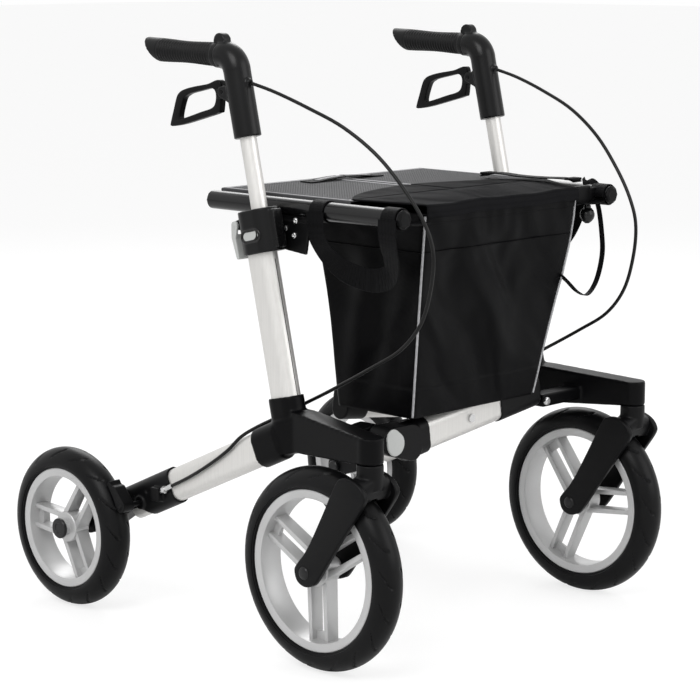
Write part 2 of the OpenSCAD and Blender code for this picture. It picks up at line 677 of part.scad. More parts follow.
module cross_collar(s) placed(s) color(black) on_bar(s) difference() {
    union() {
        bar_plate(2 * collar_half - 2 * pass_gap) {
            link2d(hinge_point, [sleeve_from + 8, -9], collar_r, collar_half);
            link2d(hinge_point, [sleeve_from + 8, 9], collar_r, collar_half);
        }
        translate([0, 0, sleeve_from]) rotate(90) linear_extrude(sleeve_to - sleeve_from)
            oval(bar_a + 6, bar_b + 5);
        translate([0, 0, bar_l(s) - end_l(s)]) rotate(90) linear_extrude(end_l(s) + 4)
            oval(bar_a + 4, bar_b + 4);
    }
    translate([0, 0, bar_start]) rotate(90) linear_extrude(bar_l(s) - bar_start) oval(bar_a, bar_b);
    bar_plate(80) translate(hinge_point) circle(hinge_pin_r);
}

cap_r = 16.5;
module cross_pin(s) placed(s) color(grey) translate([0, hinge_y, hinge_z]) {
    head = s > 0 ? bar_x(s) - collar_half : bar_x(s) + collar_half;
    tail = s > 0 ? lug_x(s) + collar_half : lug_x(s) - collar_half;
    along_x(min(head, tail), max(head, tail), hinge_pin_r);
    translate([s > 0 ? head - 3 : head, 0, 0]) rotate([0, 90, 0]) linear_extrude(3)
        link2d([3, -2], [-6, 3], cap_r, cap_r - 4);
    along_x(s > 0 ? tail : tail - 4, s > 0 ? tail + 4 : tail, hinge_pin_r + 2);
}

module centre_pin() placed(1) color(steel) translate([0, 0, centre_z])
    {
        along_x(bar_x(1) - bar_b / 2 - 3, bar_x(-1) + bar_b / 2 + 3, centre_pin_r);
        along_x(bar_x(1) + bar_b / 2 + pass_gap, bar_x(-1) - bar_b / 2 - pass_gap, centre_pin_r + 4);
    }

// Seat halves: slings on the rails that rise to a ridge when the frame folds
seat_z = rail_z + rail_r + pass_gap;
hem_t = 1.6;
loop_x = [-58, 74];
loop_w = 28;
loop_t = 1.8;
loop_fit = 0.3;
module rail_ring(x, l, inner, outer) translate([x, rail_y, rail_z]) rotate([90, 0, 90]) linear_extrude(l)
    difference() {
        circle(outer);
        circle(inner);
    }
module seat_panel(s) placed(s) color("#5d5f61") difference() {
    union() {
        translate([seat_rear, seat_gap / 2, seat_z])
            cube([seat_front - seat_rear, rail_y - seat_gap / 2, seat_t]);
        intersection() {
            rail_ring(seat_rear, seat_front - seat_rear, rail_r + run_fit, rail_r + hem_t);
            translate([0, rail_y, rail_z]) rotate([90, 0, 90]) linear_extrude(2000, center = true)
                polygon([[0, 0], [0, 40], [-40, 40], [-40, -36]]);
        }
    }
    translate([loop_x[0] - loop_w / 2 - 1, rail_y - rail_r - 6, rail_z - 40]) cube([loop_w + 2, 80, 80]);
    translate([strap_x - strap_w / 2 - run_fit, 0, seat_z + seat_t - strap_sink])
        cube([strap_w + 2 * run_fit, strap_l + run_fit, 2 * strap_sink]);
}

// Pull strap, let into the seat so that its top lies clear of the seat's flat face
strap_x = -235;
strap_sink = 0.8;
module pull_strap(s) placed(s) color(rubber)
    translate([strap_x - strap_w / 2, seat_gap / 2, seat_z + seat_t - strap_sink])
        cube([strap_w, strap_l - seat_gap / 2, 2.5]);

// Bag: a tapered body with a raised floor over the cross bars, and its lid before the seat
bag_floor_z = 364;
bag_slot = collar_half + 2;
bag_wall = 3;
module placed_on(e) mirror([0, e < 0 ? 1 : 0, 0]) children();
module bag() placed(1) color(rubber) difference() {
    union() {
        hull() {
            translate([bag_top_x[0], -bag_top_w, bag_top_z - 1])
                cube([bag_top_x[1] - bag_top_x[0], 2 * bag_top_w, 1]);
            translate([bag_low_x[0], -bag_low_w, bag_low_z])
                cube([bag_low_x[1] - bag_low_x[0], 2 * bag_low_w, 1]);
        }
        translate([seat_front + 2, -bag_top_w, bag_top_z - eps])
            cube([bag_top_x[1] - seat_front - 2, 2 * bag_top_w, bag_lid_z - bag_top_z]);
        for (e = [-1, 1], x = loop_x) placed_on(e) {
            rail_ring(x - loop_w / 2, loop_w, rail_r + loop_fit, rail_r + loop_fit + loop_t);
            translate([x - loop_w / 2, bag_top_w - bag_wall, rail_z - 10])
                cube([loop_w, rail_y - rail_r - bag_top_w + bag_wall + 1, loop_t]);
        }
    }
    translate([bar_x(-1) - bag_slot, -bag_low_w + 9, 0]) cube([2 * bag_slot, 2 * bag_low_w, bag_floor_z]);
    translate([bag_low_x[0] + bag_wall, bag_wall - bag_low_w, 0])
        cube([bag_low_x[1] - bag_low_x[0] - 2 * bag_wall, 2 * (bag_low_w - bag_wall), bag_floor_z]);
    hull() {
        translate([bag_top_x[0] + bag_wall, bag_wall - bag_top_w, bag_top_z])
            cube([bag_top_x[1] - bag_top_x[0] - 2 * bag_wall, 2 * bag_top_w - 2 * bag_wall, bag_wall]);
        translate([bag_low_x[0] + bag_wall - 4, bag_wall - bag_low_w - 2, bag_floor_z + bag_wall])
            cube([bag_low_x[1] - bag_low_x[0] - 2 * bag_wall + 8, 2 * (bag_low_w + 2 - bag_wall), 1]);
    }
}

for (side = SIDES) {
    name = side[0];
    s = side[1];
    casting(s);
    upright(s);
    stay(s);
    rear_bracket(s);
    rear_axle(s);
    clamp(s);
    clamp_lever(s);
    seat_rail(s);
    seat_bracket(s);
    screws(s);
    handle_tube(s);
    brake_housing(s);
    grip(s);
    brake_lever(s);
    brake_cable(s);
    cable_adjuster(s);
    brake_arm(s);
    fork(s);
    fork_stem(s);
    front_tyre(s);
    front_rim(s);
    front_axle(s);
    rear_tyre(s);
    rear_rim(s);
    cross_bar(s);
    cross_collar(s);
    cross_pin(s);
    seat_panel(s);
    pull_strap(s);
}
centre_pin();
bag();
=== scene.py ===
# All terrain rollator: looks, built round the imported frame
import json
import math

import bmesh
import bpy
from mathutils import Matrix, Vector, noise


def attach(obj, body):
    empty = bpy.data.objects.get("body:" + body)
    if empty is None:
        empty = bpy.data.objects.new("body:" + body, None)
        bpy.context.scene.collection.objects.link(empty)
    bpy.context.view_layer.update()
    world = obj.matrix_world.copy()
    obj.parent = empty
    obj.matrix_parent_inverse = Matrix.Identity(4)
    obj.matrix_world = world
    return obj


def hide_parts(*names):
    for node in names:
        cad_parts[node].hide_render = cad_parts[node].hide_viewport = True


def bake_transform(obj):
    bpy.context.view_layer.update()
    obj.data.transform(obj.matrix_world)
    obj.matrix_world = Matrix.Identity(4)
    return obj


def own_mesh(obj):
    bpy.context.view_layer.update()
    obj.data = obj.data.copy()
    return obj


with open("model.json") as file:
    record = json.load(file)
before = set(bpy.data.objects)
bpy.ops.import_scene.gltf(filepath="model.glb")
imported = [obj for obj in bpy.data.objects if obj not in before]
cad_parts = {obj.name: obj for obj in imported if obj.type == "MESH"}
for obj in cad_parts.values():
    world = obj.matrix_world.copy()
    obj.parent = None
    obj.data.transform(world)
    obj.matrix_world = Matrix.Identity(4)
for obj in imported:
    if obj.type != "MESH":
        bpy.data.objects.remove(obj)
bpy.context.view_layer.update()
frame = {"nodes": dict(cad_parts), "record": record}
NODES = frame["nodes"]
BODY = {n: b for b, ns in frame["record"]["behaviour"]["bodies"].items() for n in ns}

MM = 0.001
SIDES = (("right", -1), ("left", 1))
X_AXIS = Vector((1, 0, 0))
Y_AXIS = Vector((0, 1, 0))
Z_AXIS = Vector((0, 0, 1))
WHITE = (1, 1, 1, 1)

# Places that several pieces share, in millimetres in the source's axle frame
X_MID = 235.5
FRONT_X, FRONT_Y, FRONT_R = 0, 280, 140
REAR_X, REAR_Y, REAR_R = -493, 308, 118
HANDLE_Y = 254
RAKE = math.radians(13)
RAIL_Y, RAIL_Z = 218, 612
RAIL_ENDS = ((-1, -275), (1, 90))


def at(x, y, z):
    """A point given in the source's axle frame, in millimetres, as metres in the row frame."""
    return Vector(((x + X_MID) * MM, y * MM, z * MM))


def even(start, stop, gaps):
    """Evenly spaced values from start to stop, both included."""
    return [start + (stop - start) * k / gaps for k in range(gaps + 1)]


# Materials

DRIFT_SCALE = 14
ROUGH_DRIFT = 0.06
GRAIN_HEIGHT = 0.0004
CREASE_TURN = (0.75, 0.5, 0.3)
CREASE_SIZE = (0.2, 0.11, 0.26)
CREASE_HEIGHT = 0.02


def add_node(tree, kind, **values):
    """A new shader node with some of its inputs set by name."""
    made = tree.nodes.new("ShaderNode" + kind)
    for name, value in values.items():
        made.inputs[name.replace("_", " ")].default_value = value
    return made


def add_ramp(tree, places, colors):
    """A colour ramp with two stops."""
    ramp = add_node(tree, "ValToRGB")
    for i in (0, 1):
        ramp.color_ramp.elements[i].position = places[i]
        ramp.color_ramp.elements[i].color = list(colors[i]) + [1]
    return ramp


def material(name, color, rough, metal=0.0, spread=0.12, grain=0.12, grain_scale=900, stretch=(1, 1, 1),
             specular=0.5, coat=0.0, sheen=0.0):
    """A principled material with a slow colour drift and fine grain in its bump."""
    m = bpy.data.materials.new(name)
    m.use_nodes = True
    nt = m.node_tree
    link = nt.links.new
    b = nt.nodes["Principled BSDF"]
    b.inputs["Metallic"].default_value = metal
    b.inputs["Specular IOR Level"].default_value = specular
    b.inputs["Sheen Weight"].default_value = sheen
    b.inputs["Sheen Roughness"].default_value = 0.5
    b.inputs["Coat Weight"].default_value = coat
    b.inputs["Coat Roughness"].default_value = 0.25
    coord = add_node(nt, "TexCoord")
    stretched = add_node(nt, "Mapping", Scale=stretch)
    link(coord.outputs["Object"], stretched.inputs["Vector"])
    drift = add_node(nt, "TexNoise", Scale=DRIFT_SCALE, Detail=4)
    link(stretched.outputs["Vector"], drift.inputs["Vector"])
    dark = [c * (1 - spread) for c in color]
    light = [min(1, c * (1 + spread)) for c in color]
    ramp = add_ramp(nt, (0.3, 0.7), (dark, light))
    link(drift.outputs["Fac"], ramp.inputs["Fac"])
    link(ramp.outputs["Color"], b.inputs["Base Color"])
    rough_map = add_node(nt, "MapRange", To_Min=max(0.05, rough - ROUGH_DRIFT),
                         To_Max=min(1, rough + ROUGH_DRIFT))
    link(drift.outputs["Fac"], rough_map.inputs["Value"])
    link(rough_map.outputs["Result"], b.inputs["Roughness"])
    fine = add_node(nt, "TexNoise", Scale=grain_scale, Detail=3)
    link(stretched.outputs["Vector"], fine.inputs["Vector"])
    bump = add_node(nt, "Bump", Strength=grain, Distance=GRAIN_HEIGHT)
    link(fine.outputs["Fac"], bump.inputs["Height"])
    link(bump.outputs["Normal"], b.inputs["Normal"])
    return m


def woven(name, dark, light, rough, pitch, axes, strength, crease=0.0, **finish):
    """A plain weave: two crossed thread waves, checked over and under, for colour and bump."""
    m = material(name, dark, rough, spread=0.1, grain=0.0, **finish)
    nt = m.node_tree
    link = nt.links.new
    b = nt.nodes["Principled BSDF"]
    coord = add_node(nt, "TexCoord")
    split = add_node(nt, "SeparateXYZ")
    link(coord.outputs["Object"], split.inputs["Vector"])

    def calc(operation, *terms):
        """A math node on sockets and numbers."""
        made = add_node(nt, "Math")
        made.operation = operation
        for i, term in enumerate(terms):
            if isinstance(term, (int, float)):
                made.inputs[i].default_value = term
            else:
                link(term, made.inputs[i])
        return made.outputs[0]

    warp, weft = (calc("SINE", calc("MULTIPLY", split.outputs[axis], math.pi / pitch)) for axis in axes)
    over = calc("GREATER_THAN", calc("MULTIPLY", warp, weft), 0.0)
    pick = add_node(nt, "Mix")
    pick.data_type = "FLOAT"
    link(over, pick.inputs[0])
    link(calc("ABSOLUTE", warp), pick.inputs[2])
    link(calc("ABSOLUTE", weft), pick.inputs[3])
    height = pick.outputs[0]
    ramp = add_ramp(nt, (0.15, 0.9), (dark, light))
    link(height, ramp.inputs["Fac"])
    link(ramp.outputs["Color"], b.inputs["Base Color"])
    bump = add_node(nt, "Bump", Strength=strength, Distance=pitch * 0.5)
    link(height, bump.inputs["Height"])
    link(bump.outputs["Normal"], b.inputs["Normal"])
    if crease:
        slant = add_node(nt, "Mapping", Rotation=CREASE_TURN, Scale=CREASE_SIZE)
        slant.vector_type = "TEXTURE"
        link(coord.outputs["Object"], slant.inputs["Vector"])
        folds = add_node(nt, "TexNoise", Scale=1.6, Detail=1.2, Distortion=0.6)
        link(slant.outputs["Vector"], folds.inputs["Vector"])
        soft = add_node(nt, "Bump", Strength=crease, Distance=CREASE_HEIGHT)
        link(folds.outputs["Fac"], soft.inputs["Height"])
        link(soft.outputs["Normal"], bump.inputs["Normal"])
    return m


SILVER = material("satin_silver", (0.66, 0.65, 0.63), 0.36, 0.5, spread=0.04, grain=0.06, stretch=(30, 30, 1))
BLACK = material("satin_black", (0.0028, 0.0028, 0.0031), 0.40, spread=0.2, grain=0.10, specular=0.12)
CAST = material("cast_black", (0.0022, 0.0022, 0.0025), 0.36, spread=0.2, grain=0.10, specular=0.075)
MOULDED = material("moulded_black", (0.003, 0.003, 0.0033), 0.29, spread=0.2, grain=0.1, specular=0.2)
GLOSS = material("gloss_black", (0.003, 0.003, 0.0033), 0.22, grain=0.03, specular=0.25, coat=0.12)
GREY = material("satin_grey", (0.42, 0.43, 0.42), 0.42, spread=0.05, grain=0.06)
RIM = material("cast_rim", (0.48, 0.48, 0.48), 0.36, 0.35, spread=0.05, grain=0.08)
TYRE = material("tyre_rubber", (0.0026, 0.0026, 0.0029), 0.36, spread=0.25, grain=0.2, grain_scale=500,
                specular=0.14)
GRIP = material("ribbed_rubber", (0.0035, 0.0035, 0.0038), 0.5, spread=0.2, grain=0.2, specular=0.18)
SHEATH = material("satin_sheath", (0.004, 0.004, 0.004), 0.32, grain=0.05, specular=0.2)
STEEL = material("bright_steel", (0.62, 0.62, 0.62), 0.28, 1.0, spread=0.06, grain=0.05)
# A dark cap finish, also used for the painted shade in the upright's groove
CAP_AND_GROOVE_SHADE = material("domed_cap_and_groove_shade", (0.007, 0.007, 0.0075), 0.3, 0.1, grain=0.05, specular=0.3)
SEAT = woven("seat_weave", (0.012, 0.012, 0.013), (0.075, 0.075, 0.079), 0.7, 0.0024, "XY", 0.5,
             sheen=0.03, specular=0.2)
NYLON = woven("bag_nylon", (0.0012, 0.0012, 0.0014), (0.0026, 0.0026, 0.003), 0.42, 0.0009, "YZ", 0.12,
              crease=1.0, specular=0.055)
LID_NYLON = woven("lid_nylon", (0.004, 0.004, 0.0044), (0.011, 0.011, 0.012), 0.6, 0.0009, "XY", 0.12,
                  crease=0.9, specular=0.012)
WEB = woven("webbing", (0.0012, 0.0012, 0.0014), (0.004, 0.004, 0.0045), 0.5, 0.0013, "XY", 0.5,
            specular=0.06)
PALE = woven("pale_trim", (0.22, 0.22, 0.23), (0.40, 0.40, 0.41), 0.6, 0.0012, "XY", 0.4, sheen=0.05)

# Mesh helpers


def mesh_object(name, bm, mat, smooth=True, angle=0.6):
    """A mesh in the scene, with edges sharper than angle, in radians, left sharp."""
    me = bpy.data.meshes.new(name)
    bmesh.ops.recalc_face_normals(bm, faces=bm.faces[:])
    for f in bm.faces:
        f.smooth = smooth
    if smooth:
        for e in bm.edges:
            e.smooth = not e.is_manifold or e.calc_face_angle(0) < angle
    bm.to_mesh(me)
    bm.free()
    o = bpy.data.objects.new(name, me)
    bpy.context.scene.collection.objects.link(o)
    me.materials.append(mat)
    return o


def keep(o, body, nodes=()):
    """Rides on a body and stands for CAD nodes."""
    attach(o, body)
    if nodes:
        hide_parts(*nodes)
    return o


def piece(name, bm, mat, body, nodes=(), angle=0.6):
    """A finished piece on a body."""
    return keep(mesh_object(name, bm, mat, angle=angle), body, nodes)


def apply_modifiers(o):
    """Puts an object's modified mesh in place of its own."""
    dg = bpy.context.evaluated_depsgraph_get()
    me = bpy.data.meshes.new_from_object(o.evaluated_get(dg))
    old = o.data
    o.modifiers.clear()
    o.data = me
    bpy.data.meshes.remove(old)


def thicken(o, thick, offset=0):
    """Gives a sheet its thickness in millimetres, on both sides or, with offset -1, on the inside."""
    wall = o.modifiers.new("wall", "SOLIDIFY")
    wall.thickness = thick * MM
    wall.offset = offset
    apply_modifiers(o)


def quads(bm, rows, closed=False):
    """Faces between neighbouring rows of vertices. Closed rows also join their end to their start."""
    for a, b in zip(rows, rows[1:]):
        count = len(a)
        for i in range(count if closed else count - 1):
            j = (i + 1) % count
            bm.faces.new((a[i], a[j], b[j], b[i]))


def cloth_object(name, rows, mat, thick):
    """A cloth through rows of points, with the area of one of its sides."""
    bm = bmesh.new()
    quads(bm, [[bm.verts.new(p) for p in row] for row in rows])
    o = mesh_object(name, bm, mat, angle=1.2)
    area = sum(f.area for f in o.data.polygons)
    thicken(o, thick)
    return o, area


def mirrored(half):
    """A lathe profile from its half on the positive side, listed from its end to its middle."""
    return [(r, -t) for r, t in half] + half[::-1]


def lathe(bm, profile, centre, count, closed=False):
    """Turns (radius, along) points, in millimetres, about the crosswise axis through centre."""
    rings = []
    for k in range(count):
        a = 2 * math.pi * k / count
        spots = [Vector((r * math.cos(a), t, r * math.sin(a))) for r, t in profile]
        rings.append([bm.verts.new(centre + p * MM) for p in spots])
    quads(bm, rings + rings[:1], closed)
    return rings


def lathe_on(bm, profile, centre, direction, count):
    """Turns (radius, along) points, in millimetres, about a direction through centre."""
    turn = Z_AXIS.rotation_difference(direction).to_matrix()
    rings = []
    for k in range(count):
        a = 2 * math.pi * k / count
        spots = [Vector((r * math.cos(a), r * math.sin(a), t)) for r, t in profile]
        rings.append([bm.verts.new(centre + turn @ (p * MM)) for p in spots])
    quads(bm, rings + rings[:1])


def along_path(path):
    """Each point of a path with its direction there."""
    last = len(path) - 1
    for i, p in enumerate(path):
        yield p, (path[min(i + 1, last)] - path[max(i - 1, 0)]).normalized()


def close_ends(bm, rings):
    """Joins closed rings to a bar with flat ends."""
    quads(bm, rings, True)
    bm.faces.new(rings[0])
    bm.faces.new(rings[-1])


def tube_mesh(bm, path, radius, sides=12, up=Y_AXIS):
    """A round tube along points, with flat ends."""
    rings = []
    turns = [2 * math.pi * k / sides for k in range(sides)]
    for p, t in along_path(path):
        u = t.cross(up).normalized()
        v = t.cross(u).normalized()
        rings.append([bm.verts.new(p + radius * (u * math.cos(a) + v * math.sin(a))) for a in turns])
    close_ends(bm, rings)


def strap_mesh(bm, path, across, width, thick):
    """A flat strap along points: across is its width direction, or gives it by share and path direction."""
    h, k = width / 2, thick / 2
    soft = min(0.35 * thick, 0.25 * width)
    spots = [(-h, -k + soft), (-h + soft, -k), (h - soft, -k), (h, -k + soft),
             (h, k - soft), (h - soft, k), (-h + soft, k), (-h, k - soft)]
    rings = []
    for i, (p, t) in enumerate(along_path(path)):
        w = (across(i / (len(path) - 1), t) if callable(across) else across).normalized()
        n = t.cross(w).normalized()
        w = n.cross(t).normalized()
        rings.append([bm.verts.new(p + w * a + n * b) for a, b in spots])
    close_ends(bm, rings)


def spline(points, steps, closed=False):
    """Points on a smooth curve through the given ones."""
    n = len(points)
    out = []
    for i in range(n if closed else n - 1):
        near = range(i - 1, i + 3)
        a, b, c, d = (points[j % n if closed else min(max(j, 0), n - 1)] for j in near)
        for k in range(steps):
            t = k / steps
            out.append(0.5 * (2 * b + (c - a) * t + (2 * a - 5 * b + 4 * c - d) * t * t
                              + (3 * b - a - 3 * c + d) * t ** 3))
    return out if closed else out + [points[-1]]


def plate_mesh(bm, loops, steps, y, width, bevel):
    """A flat plate with rounded edges: smooth loops through (x, z) in millimetres, its middle at y."""
    curve = bpy.data.curves.new("plate", "CURVE")
    curve.dimensions = "2D"
    curve.fill_mode = "BOTH"
    curve.extrude = (width / 2 - bevel) * MM
    curve.bevel_depth = bevel * MM
    curve.bevel_resolution = 3
    curve.offset = -bevel * MM
    for loop in loops:
        spots = spline([Vector((x, z, 0)) for x, z in loop], steps, closed=True)
        sp = curve.splines.new("POLY")
        sp.points.add(len(spots) - 1)
        for q, v in zip(sp.points, spots):
            q.co = (v.x * MM, v.y * MM, 0, 1)
        sp.use_cyclic_u = True
    o = bpy.data.objects.new("plate", curve)
    bpy.context.scene.collection.objects.link(o)
    me = bpy.data.meshes.new_from_object(o.evaluated_get(bpy.context.evaluated_depsgraph_get()))
    for v in me.vertices:
        v.co = Vector((v.co.x + X_MID * MM, y * MM + v.co.z, v.co.y))
    bm.from_mesh(me)
    bmesh.ops.remove_doubles(bm, verts=bm.verts[:], dist=1e-6)
    bpy.data.objects.remove(o)
    bpy.data.curves.remove(curve)
    bpy.data.meshes.remove(me)


def bevelled_box(bm, centre, size, bevel):
    """A box with rounded edges, in millimetres about a point in metres."""
    made = bmesh.ops.create_cube(bm, size=1)["verts"]
    for v in made:
        v.co = centre + Vector((v.co.x * size[0], v.co.y * size[1], v.co.z * size[2])) * MM
    edges = list({e for v in made for e in v.link_edges})
    bmesh.ops.bevel(bm, geom=edges, offset=bevel * MM, segments=3, profile=0.6, affect="EDGES")


def softened(node, mat, voxel, rounds, shape=None):
    """A moulded piece: the node's solid with its edges rounded off, in a piece of its own."""
    o = bpy.data.objects.new(node + "_moulding", NODES[node].data.copy())
    bpy.context.scene.collection.objects.link(o)
    o.data.materials.clear()
    o.data.materials.append(mat)
    bm = bmesh.new()
    bm.from_mesh(o.data)
    bmesh.ops.remove_doubles(bm, verts=bm.verts[:], dist=2e-6)
    bm.to_mesh(o.data)
    bm.free()
    remesh = o.modifiers.new("remesh", "REMESH")
    remesh.mode = "VOXEL"
    remesh.voxel_size = voxel * MM
    remesh.use_smooth_shade = True
    ease = o.modifiers.new("ease", "SMOOTH")
    ease.iterations = rounds
    ease.factor = 0.5
    apply_modifiers(o)
    if shape:
        shape(o)
    return keep(o, BODY[node], [node])


def dress(node, mat):
    """A CAD node that stays, with a finished material."""
    me = NODES[node].data
    me.materials.clear()
    me.materials.append(mat)


# Camera, light and floor

CAMERA_DOWN = 9.84
CAMERA_TURN = 134.19
camera = bpy.data.objects.new("camera", bpy.data.cameras.new("camera"))
bpy.context.scene.collection.objects.link(camera)
camera.data.lens = 119.04
camera.data.sensor_width = 36
camera.location = (2.3597, -2.4112, 0.9594)
camera.rotation_euler = (math.radians(90 - CAMERA_DOWN), 0, math.radians(CAMERA_TURN - 90))
camera.data.clip_end = 60
bpy.context.scene.camera = camera

# A white room, dimmer for the diffuse light than for the camera and the reflections
world = bpy.data.worlds.new("studio")
bpy.context.scene.world = world
world.use_nodes = True
room = world.node_tree
sky = room.nodes["Background"]
sky.inputs["Color"].default_value = WHITE
sky.inputs["Strength"].default_value = 0.62
seen = add_node(room, "Background", Color=WHITE, Strength=1.0)
rays = add_node(room, "LightPath")
direct = add_node(room, "Math")
direct.operation = "MAXIMUM"
room.links.new(rays.outputs["Is Camera Ray"], direct.inputs[0])
room.links.new(rays.outputs["Is Glossy Ray"], direct.inputs[1])
pick_sky = add_node(room, "MixShader")
room.links.new(direct.outputs[0], pick_sky.inputs[0])
room.links.new(sky.outputs[0], pick_sky.inputs[1])
room.links.new(seen.outputs[0], pick_sky.inputs[2])
room.links.new(pick_sky.outputs[0], room.nodes["World Output"].inputs["Surface"])


def lamp(name, place, aim, size, watts):
    """A square area light at a place, turned to a point."""
    light = bpy.data.lights.new(name, "AREA")
    light.size = size
    light.energy = watts
    o = bpy.data.objects.new(name, light)
    bpy.context.scene.collection.objects.link(o)
    o.location = place
    o.rotation_euler = (Vector(aim) - Vector(place)).to_track_quat("-Z", "Y").to_euler()


lamp("key", (1.0, -2.6, 3.0), (0, 0, 0.4), 2.0, 70)
lamp("fill", (3.0, 1.0, 1.8), (0, 0, 0.4), 2.4, 36)
lamp("back", (-2.2, 2.0, 2.6), (0, 0, 0.5), 2.0, 40)

# A pale floor that glows for the camera, so that only soft shadows show
GLOW = 1.13
GLOW_SHARE = 0.65
floor_mat = bpy.data.materials.new("pale_floor")
floor_mat.use_nodes = True
ground = floor_mat.node_tree
matt = ground.nodes["Principled BSDF"]
matt.inputs["Base Color"].default_value = (0.92, 0.92, 0.92, 1)
matt.inputs["Roughness"].default_value = 0.9
glow = add_node(ground, "Emission", Color=WHITE, Strength=GLOW)
floor_rays = add_node(ground, "LightPath")
part_of = add_node(ground, "Math")
part_of.operation = "MULTIPLY"
part_of.inputs[1].default_value = GLOW_SHARE
ground.links.new(floor_rays.outputs["Is Camera Ray"], part_of.inputs[0])
blend = add_node(ground, "MixShader")
ground.links.new(part_of.outputs[0], blend.inputs[0])
ground.links.new(matt.outputs[0], blend.inputs[1])
ground.links.new(glow.outputs[0], blend.inputs[2])
ground.links.new(blend.outputs[0], ground.nodes["Material Output"].inputs["Surface"])
floor_bm = bmesh.new()
bmesh.ops.create_grid(floor_bm, x_segments=1, y_segments=1, size=30)
floor = mesh_object("floor", floor_bm, floor_mat, smooth=False)
floor.location.z = -0.0005

# Brake cables, from the housing past the bag's front to the adjuster at the rear bracket

CABLE = [(-157, 253, 780), (-115, 251, 770), (-60, 246, 752), (0, 238, 728), (55, 229, 692),
         (100, 221, 645), (127, 216, 605), (138, 214, 570), (134, 214, 525), (118, 215, 478),
         (85, 218, 440), (35, 221, 410), (-35, 224, 372), (-88, 227, 345), (-120, 240, 326),
         (-146, 258, 310), (-165, 272, 295), (-184, 280, 274), (-220, 281, 249), (-262, 282, 224),
         (-298, 282, 206)]
CABLE_D = 5

for side, s in SIDES:
    route = spline([at(x, s * y, z) for x, y, z in CABLE], 6)
    bm = bmesh.new()
    tube_mesh(bm, route, CABLE_D / 2 * MM)
    cable = mesh_object(side + "_cable", bm, SHEATH)
    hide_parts(side + "_brake_cable")
    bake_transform(cable)

# Wheels: turn is the angle of the first spoke pair on the right and on the left

WHEELS = (
    dict(end="front", x=FRONT_X, y=FRONT_Y, r=FRONT_R, rim=111, hub=25.8, bore=5.05, grooves=18,
         turn={-1: 32, 1: 6}),
    dict(end="rear", x=REAR_X, y=REAR_Y, r=REAR_R, rim=89, hub=22, bore=6.05, grooves=16,
         turn={-1: 56, 1: 39}),
)
TYRE_HALF = 23.75
TYRE_STEPS = 432
TREAD = 17
GROOVE_SPAN = (0.25, 0.93)
GROOVE_DEPTH = 2.3
GROOVE_HALF = 0.019
GROOVE_LEAN = 0.51
GROOVE_FADE = (0.12, 0.1)
RIM_HALF = 20
RIM_THICK = 12.5
HUB_R = 22.5
SPOKE_R = 12.0
SPOKE_Y = 14.5
SPOKE_ROOT = (4.0, 11.0)
SPOKE_TIP = (3.2, 10.2)
SPOKE_BEVEL = 1.0
WEB_LENGTH = 12
WEB_HALF = (11.5, 2.2)


def tyre_profile(r, rim_r):
    """Half of the section from the tread's middle to the bead, mirrored to a closed loop."""
    mid = r - TYRE_HALF
    half = []
    for deg in range(0, 100, 4):
        a = math.radians(deg)
        half.append((mid + TYRE_HALF * math.cos(a), TYRE_HALF * math.sin(a) * 0.995))
    step_r = mid - 1.5
    half = [p for p in half if p[0] > step_r + 1]
    half += [(step_r, 23.3), (step_r - 0.5, 21.6), (step_r - 2, 21.0),
             (rim_r + 3.2, 20.5), (rim_r + 0.6, 20.2), (rim_r + 0.1, 18.5)]
    return half + [(a, -b) for a, b in reversed(half[1:])]


def groove_depth(angle, along, count):
    """Depth of the sparse curved grooves over each shoulder."""
    t = abs(along) / TYRE_HALF
    first, last = GROOVE_SPAN
    if t < first or t > last:
        return 0
    pitch = 2 * math.pi / count
    lean = GROOVE_LEAN * (t - first) ** 2
    shift = lean + pitch / 2 if along > 0 else -lean
    phase = (angle + shift) / pitch
    off = abs(phase - round(phase)) * pitch
    edge = min(1, (t - first) / GROOVE_FADE[0]) * min(1, (last - t) / GROOVE_FADE[1])
    return GROOVE_DEPTH * edge * max(0, 1 - (off / GROOVE_HALF) ** 2)


def tyre_mesh(bm, wheel, centre):
    """A tyre with grooves in its tread."""
    profile = tyre_profile(wheel["r"], wheel["rim"])
    for k, ring in enumerate(lathe(bm, profile, centre, TYRE_STEPS, closed=True)):
        angle = 2 * math.pi * k / TYRE_STEPS
        out = Vector((math.cos(angle), 0, math.sin(angle)))
        for v, (r, t) in zip(ring, profile):
            if r > wheel["r"] - TREAD:
                v.co -= out * groove_depth(angle, t, wheel["grooves"]) * MM


def wheel_place(centre, angle):
    """Takes (along a spoke, across it, along the axle) in millimetres to its place in a wheel."""
    along = Vector((math.cos(angle), 0, math.sin(angle)))
    across = Vector((-math.sin(angle), 0, math.cos(angle)))
    return lambda p: centre + (along * p[0] + across * p[1] + Y_AXIS * p[2]) * MM


def spoke_mesh(bm, place, middle, tip_r):
    """One tapered bar of a spoke pair, with rounded edges."""
    bar = bmesh.new()
    bmesh.ops.create_cube(bar, size=1)
    for v in bar.verts:
        along, (wide, deep) = (SPOKE_R, SPOKE_ROOT) if v.co.x < 0 else (tip_r, SPOKE_TIP)
        v.co = Vector((along, middle + math.copysign(wide, v.co.y), math.copysign(deep, v.co.z)))
    bmesh.ops.bevel(bar, geom=bar.edges[:], offset=SPOKE_BEVEL, segments=2, profile=0.6, affect="EDGES")
    for v in bar.verts:
        v.co = place(v.co)
    me = bpy.data.meshes.new("spoke")
    bar.to_mesh(me)
    bar.free()
    bm.from_mesh(me)
    bpy.data.meshes.remove(me)


